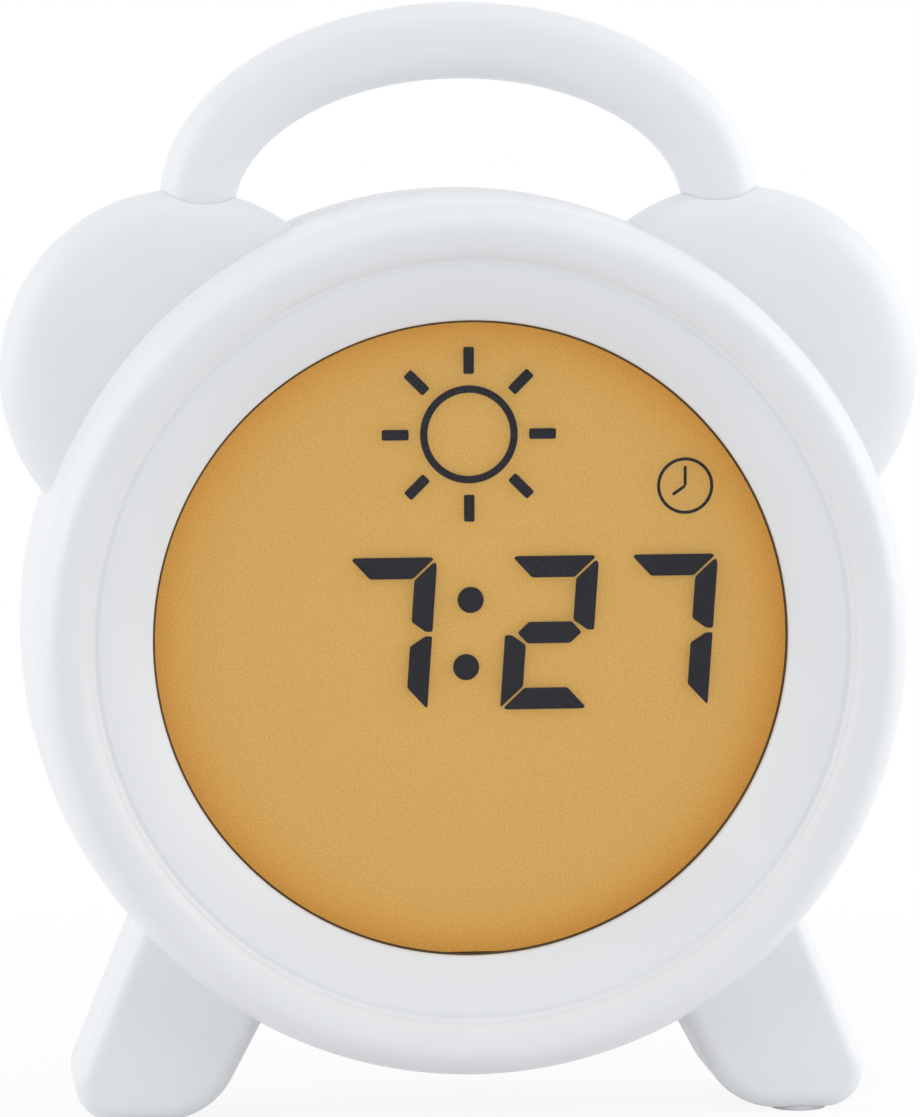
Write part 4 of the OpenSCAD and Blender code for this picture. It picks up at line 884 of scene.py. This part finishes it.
class CLOCK_OT_buttons(bpy.types.Operator):
    """Push buttons: six dished round ones and the long one of the night light"""

    bl_idname = "clock.buttons"
    bl_label = "Push buttons"

    def execute(self, context):
        s = sizes()
        r, top = s.button_r, s.button_top
        edge, dip = 0.5, 0.3
        dish = np.linspace(r - edge, 0.3, 10)
        profile = np.vstack([[(STEM_R, STEM_D), (STEM_R, FLANGE_D), (r + OVERHANG, FLANGE_D),
                              (r + OVERHANG, FLANGE_TOP), (r, FLANGE_TOP)],
                             arc(r - edge, top - edge, edge, edge, 0, 90, 8),
                             np.stack([dish, top - dip * (1 - (dish / (r - edge)) ** 2) ** 2], -1)])
        for side, column in zip(SIDES, (("mode", "alarm", "nap"), ("up", "down", "sound"))):
            for z, name in zip(BUTTON_ROWS, column):
                x = side * BUTTON_X
                obj = carved(f"{name}_button_cap", turned(profile, x, z, 64),
                             minus(*sign_cutters(name, x, z, top - SIGN_DEEP, top + 1)))
                piece(obj, f"{name}_button", "button_grey", f"{name}_button")
        long = rounded_rect(0, LIGHT_Z, LIGHT_L, LIGHT_W, LIGHT_W / 2, 16)
        flange = pillow(long, [(-OVERHANG, FLANGE_D), (-OVERHANG, FLANGE_TOP)])
        obj = carved("light_button_cap", pillow(long, slab_profile(39.6, top, 0.9, 10)),
                     plus(flange, rod(0, LIGHT_Z, STEM_D, 40, STEM_R)))
        piece(obj, "light_button", "button_warm", "light_button")
        return {"FINISHED"}


class CLOCK_OT_sliders(bpy.types.Operator):
    """Slide knobs: a base behind the slot and a ribbed nub"""

    bl_idname = "clock.sliders"
    bl_label = "Slide knobs"

    def execute(self, context):
        s = sizes()
        z, a = SLIDER_Z - SLIDER_RUN / 2, circle(24)
        for side, name in ((1, "alarm_slider"), (-1, "volume_slider")):
            x = side * SLIDER_X
            nub = pillow(rounded_rect(x, z, SLIDER_W, SLIDER_L, 0.4, 8), slab_profile(BASE_D, s.button_top, 0.35))
            base = block(x, z, BASE_D, BASE_TOP, SLIDER_W + 4, BASE_L)
            grooves = [closed(np.stack([place(x + e, s.button_top + 0.12 + 0.3 * np.cos(a), z + g + 0.3 * np.sin(a))
                                        for e in (-SLIDER_W, SLIDER_W)])) for g in (-0.85, 0, 0.85)]
            obj = carved(name + "_knob", nub, plus(base) + minus(together(grooves)))
            piece(obj, name, "chip_black", name)
        return {"FINISHED"}


class CLOCK_OT_battery_door(bpy.types.Operator):
    """Battery door with its screw tab, countersink and grip lines"""

    bl_idname = "clock.battery_door"
    bl_label = "Battery door"

    def execute(self, context):
        back = sizes().back_d
        edge = slab_profile(DOOR_D, back, 0.3)
        plate = pillow(rounded_rect(0, BAY_Z, DOOR_W, DOOR_H, DOOR_CORNER), edge)
        tab = turned(np.stack([TAB_R - edge[:, 0], edge[:, 1]], -1), 0, TAB_Z, 64)
        grips = [pillow(rounded_rect(0, BAY_Z - 10 - 1.6 * k, 14 - 2 * k, 0.7, 0.34), flare(back - 0.4, back, 0.12))
                 for k in range(4)]
        steps = plus(tab) + minus(rod(0, TAB_Z, DOOR_D - 1, back + 1, DOOR_SCREW_R + SET_GAP),
                                  hole(0, TAB_Z, back - DOOR_SEAT, back, DOOR_HEAD_R + SET_GAP, 0.15),
                                  together(grips))
        piece(carved("battery_door_plate", plate, steps), "battery_door", "shell_white", "battery_door")
        return {"FINISHED"}


def screw(x, v, seat, head_r, head_h, shank_r, tip):
    """A pan head screw: (solid, the two bars of its cross-shaped recess)."""
    top = seat + head_h
    head = np.vstack([[(shank_r, tip), (shank_r, seat), (head_r, seat), (head_r, top - head_h * 0.45)],
                      arc(head_r - head_h * 0.4, top - head_h * 0.45, head_h * 0.4, head_h * 0.45, 10, 90, 8),
                      [(head_r * 0.3, top)]])
    cross = [block(x, v, top - head_h * 0.5, top + 1, w, h)
             for w, h in ((head_r * 1.15, head_r * 0.28), (head_r * 0.28, head_r * 1.15))]
    return turned(head, x, v, 48), cross


class CLOCK_OT_screws(bpy.types.Operator):
    """Cross-recessed screws of the case and of the battery door"""

    bl_idname = "clock.screws"
    bl_label = "Screws"

    def execute(self, context):
        s = sizes()
        made = [screw(side * x, z, low, HEAD_R, HEAD_H, SCREW_R, tip) for side in SIDES
                for x, z, tip, low, _ in case_posts(s)]
        crosses = [together(bars) for bars in zip(*(cross for _, cross in made))]
        obj = carved("case_screws_plated", together([solid for solid, _ in made]), minus(*crosses))
        piece(obj, "case", "steel", "case_screws")
        solid, cross = screw(0, TAB_Z, s.back_d - DOOR_SEAT, DOOR_HEAD_R, DOOR_HEAD_H, DOOR_SCREW_R, DOOR_TIP)
        piece(carved("door_screw_plated", solid, minus(*cross)), "battery_door", "steel", "door_screw")
        return {"FINISHED"}


class CLOCK_OT_soles(bpy.types.Operator):
    """Sole pads: four soft discs with rounded rims"""

    bl_idname = "clock.soles"
    bl_label = "Sole pads"

    def execute(self, context):
        s = sizes()
        e = 0.25
        rim = np.vstack([[(s.pad_r - e, 0)], arc(s.pad_r - e, e, e, e, -60, 0, 4), [(s.pad_r, s.pad_t)]])
        piece(smooth(shape("sole_pads_soft", pads(rim, 64))), "case", "sole_rubber", "sole_pads")
        return {"FINISHED"}


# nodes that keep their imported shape, by finish
KEPT_NODES = {
    # the gasket is real; its brown finish is partly painted shade of the opening's outline
    "black_foam": "display_gasket",
    "clear_window": "display_window",
    "seal_grey": "contact_strips",
    "tray_white": "light_tray",
    "lit_gold": "night_lamps",
    "board_green": "main_board socket_board",
    "chip_black": "controller_chip push_switches speaker_cone",
    "can_blue": "capacitors",
    "wire_red": "speaker_wires battery_wires socket_wires",
    "cell_orange": "battery_cells",
    "steel": "clock_crystal board_screws speaker_basket speaker_magnet speaker_screws battery_springs "
             "battery_contacts slide_switches switch_screws charging_socket",
}


class CLOCK_OT_inner_pieces(bpy.types.Operator):
    """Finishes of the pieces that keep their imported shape"""

    bl_idname = "clock.inner_pieces"
    bl_label = "Inner pieces"

    def execute(self, context):
        for slot, nodes in KEPT_NODES.items():
            for name in nodes.split():
                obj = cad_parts[name]
                if not obj.material_slots:
                    obj.data.materials.append(None)
                for spot in obj.material_slots:
                    spot.material = finishes()[slot]
        return {"FINISHED"}


# ---- stage ----


# the photograph's size and the place of the crease circle's middle in it, in pixels
FRAME_W, FRAME_H = 920, 1117
MIDDLE_X, MIDDLE_Y = 475.35, 642.61
# the camera's turn, tilt and roll in degrees, its distance from that middle in metres, its focal length in pixels
TURN, TILT, ROLL, AWAY, FOCAL = 5.795, 5.946, 0.251, 0.9469, 6779.8
# each lamp's name, place and width in metres, and power in watts; all aim at one point
LAMPS = (("left", (-1.2, -0.5, 0.5), 0.9, 1.85), ("right", (1.2, -0.5, 0.6), 0.9, 1.4),
         ("side left", (-1.3, -0.15, 0.45), 1.4, 6.0), ("side right", (1.3, -0.15, 0.5), 1.4, 8.8),
         ("top", (0, -0.3, 1.4), 1.4, 2.7))
LAMP_AIM = (0, 0, 0.07)
ROOM_SHADE, ROOM_LIGHT = (0.975, 0.99, 1.0, 1), 0.6
# half the floor's side; how white it shows up to the one distance and past the other, and both distances, in metres
FLOOR_HALF, GLOW, GLOW_SPAN = 6.0, (0.9, 1.0), (0.05, 0.22)


def lamp(name, spot, width, power):
    """A square soft lamp at a spot, aimed at the clock."""
    data = bpy.data.lights.new(name, "AREA")
    data.shape, data.size, data.energy = "SQUARE", width, power
    obj = add(name, data)
    obj.location = spot
    obj.rotation_euler = (Vector(LAMP_AIM) - Vector(spot)).to_track_quat("-Z", "Y").to_euler()


class CLOCK_OT_stage(bpy.types.Operator):
    """Pale floor, soft lamps, world and the camera at the photograph's viewing angle"""

    bl_idname = "clock.stage"
    bl_label = "Stage"

    def execute(self, context):
        scene = context.scene
        turn, tilt, roll = (radians(a) for a in (TURN, TILT, ROLL))
        forward = Vector((sin(turn) * cos(tilt), cos(turn) * cos(tilt), -sin(tilt)))
        right = Vector((cos(turn), -sin(turn), 0))
        up = right.cross(forward)
        right, up = (right * cos(roll) - up * sin(roll), right * sin(roll) + up * cos(roll))
        at = Vector(place(0, 0, 0)) - forward * AWAY
        look = (forward * FOCAL - right * (MIDDLE_X - FRAME_W / 2) + up * (MIDDLE_Y - FRAME_H / 2)).normalized()
        side = look.cross(up).normalized()
        cam = bpy.data.cameras.new("camera")
        cam.sensor_width = 36
        cam.lens = FOCAL / max(FRAME_W, FRAME_H) * cam.sensor_width
        cam.clip_start, cam.clip_end = 0.05, 20
        obj = add("camera", cam)
        obj.matrix_world = Matrix.Translation(at) @ Matrix((side, side.cross(look), -look)).transposed().to_4x4()
        scene.camera = obj

        for values in LAMPS:
            lamp(*values)

        world = bpy.data.worlds.new("soft room")
        scene.world = world
        n = Nodes(world)
        room = n.node("Background", Color=ROOM_SHADE, Strength=ROOM_LIGHT)
        white = n.node("Background", Color=(1, 1, 1, 1))
        mix = n.node("MixShader", n.background_rays(), room.outputs[0], white.outputs[0])
        n.node("OutputWorld", mix.outputs[0])

        mesh = bpy.data.meshes.new("floor")
        corners = [(x * FLOOR_HALF, y * FLOOR_HALF, 0) for x, y in ((-1, -1), (1, -1), (1, 1), (-1, 1))]
        mesh.from_pydata(corners, [], [(0, 1, 2, 3)])
        floor = add("floor", mesh)
        f = Finish("pale floor", Roughness=0.9, Specular_IOR_Level=0.1)
        f.tint(f.blend(f.noise(3.0), [(0.3, (0.86, 0.86, 0.87)), (0.7, (0.88, 0.88, 0.89))]))
        far = f.node("VectorMath", f.place, operation="LENGTH").outputs["Value"]
        share = f.node("Math", f.background_rays(), f.span(far, *GLOW, *GLOW_SPAN), operation="MULTIPLY")
        mix = f.node("MixShader", share.outputs[0], f.shader.outputs[0], f.node("Emission").outputs[0])
        f.join(mix.outputs[0], f.out.inputs[0])
        mesh.materials.append(f.mat)
        scene.view_settings.view_transform = "Standard"
        return {"FINISHED"}


OPERATORS = (CLOCK_OT_stage, CLOCK_OT_front_shell, CLOCK_OT_rear_shell, CLOCK_OT_handle, CLOCK_OT_display,
             CLOCK_OT_buttons, CLOCK_OT_sliders, CLOCK_OT_battery_door, CLOCK_OT_screws, CLOCK_OT_soles,
             CLOCK_OT_inner_pieces)


class CLOCK_PT_pieces(bpy.types.Panel):
    """The clock's pieces and sizes"""

    bl_label = "Alarm Clock"
    bl_idname = "CLOCK_PT_pieces"
    bl_space_type = "VIEW_3D"
    bl_region_type = "UI"
    bl_category = "Alarm Clock"

    def draw(self, context):
        for op in OPERATORS:
            self.layout.operator(op.bl_idname)
        for group in (context.scene.clock_sizes, context.scene.clock_colours):
            for key in type(group).__annotations__:
                self.layout.prop(group, key)


CLASSES = (ClockSizes, ClockColours, *OPERATORS, CLOCK_PT_pieces)


def register():
    for cls in CLASSES:
        bpy.utils.register_class(cls)
    bpy.types.Scene.clock_sizes = PointerProperty(type=ClockSizes)
    bpy.types.Scene.clock_colours = PointerProperty(type=ClockColours)


def unregister():
    del bpy.types.Scene.clock_sizes
    del bpy.types.Scene.clock_colours
    for cls in reversed(CLASSES):
        bpy.utils.unregister_class(cls)


def main():
    register()
    for op in OPERATORS:
        getattr(bpy.ops.clock, op.bl_idname.split(".")[1])()


if __name__ == "__main__":
    main()
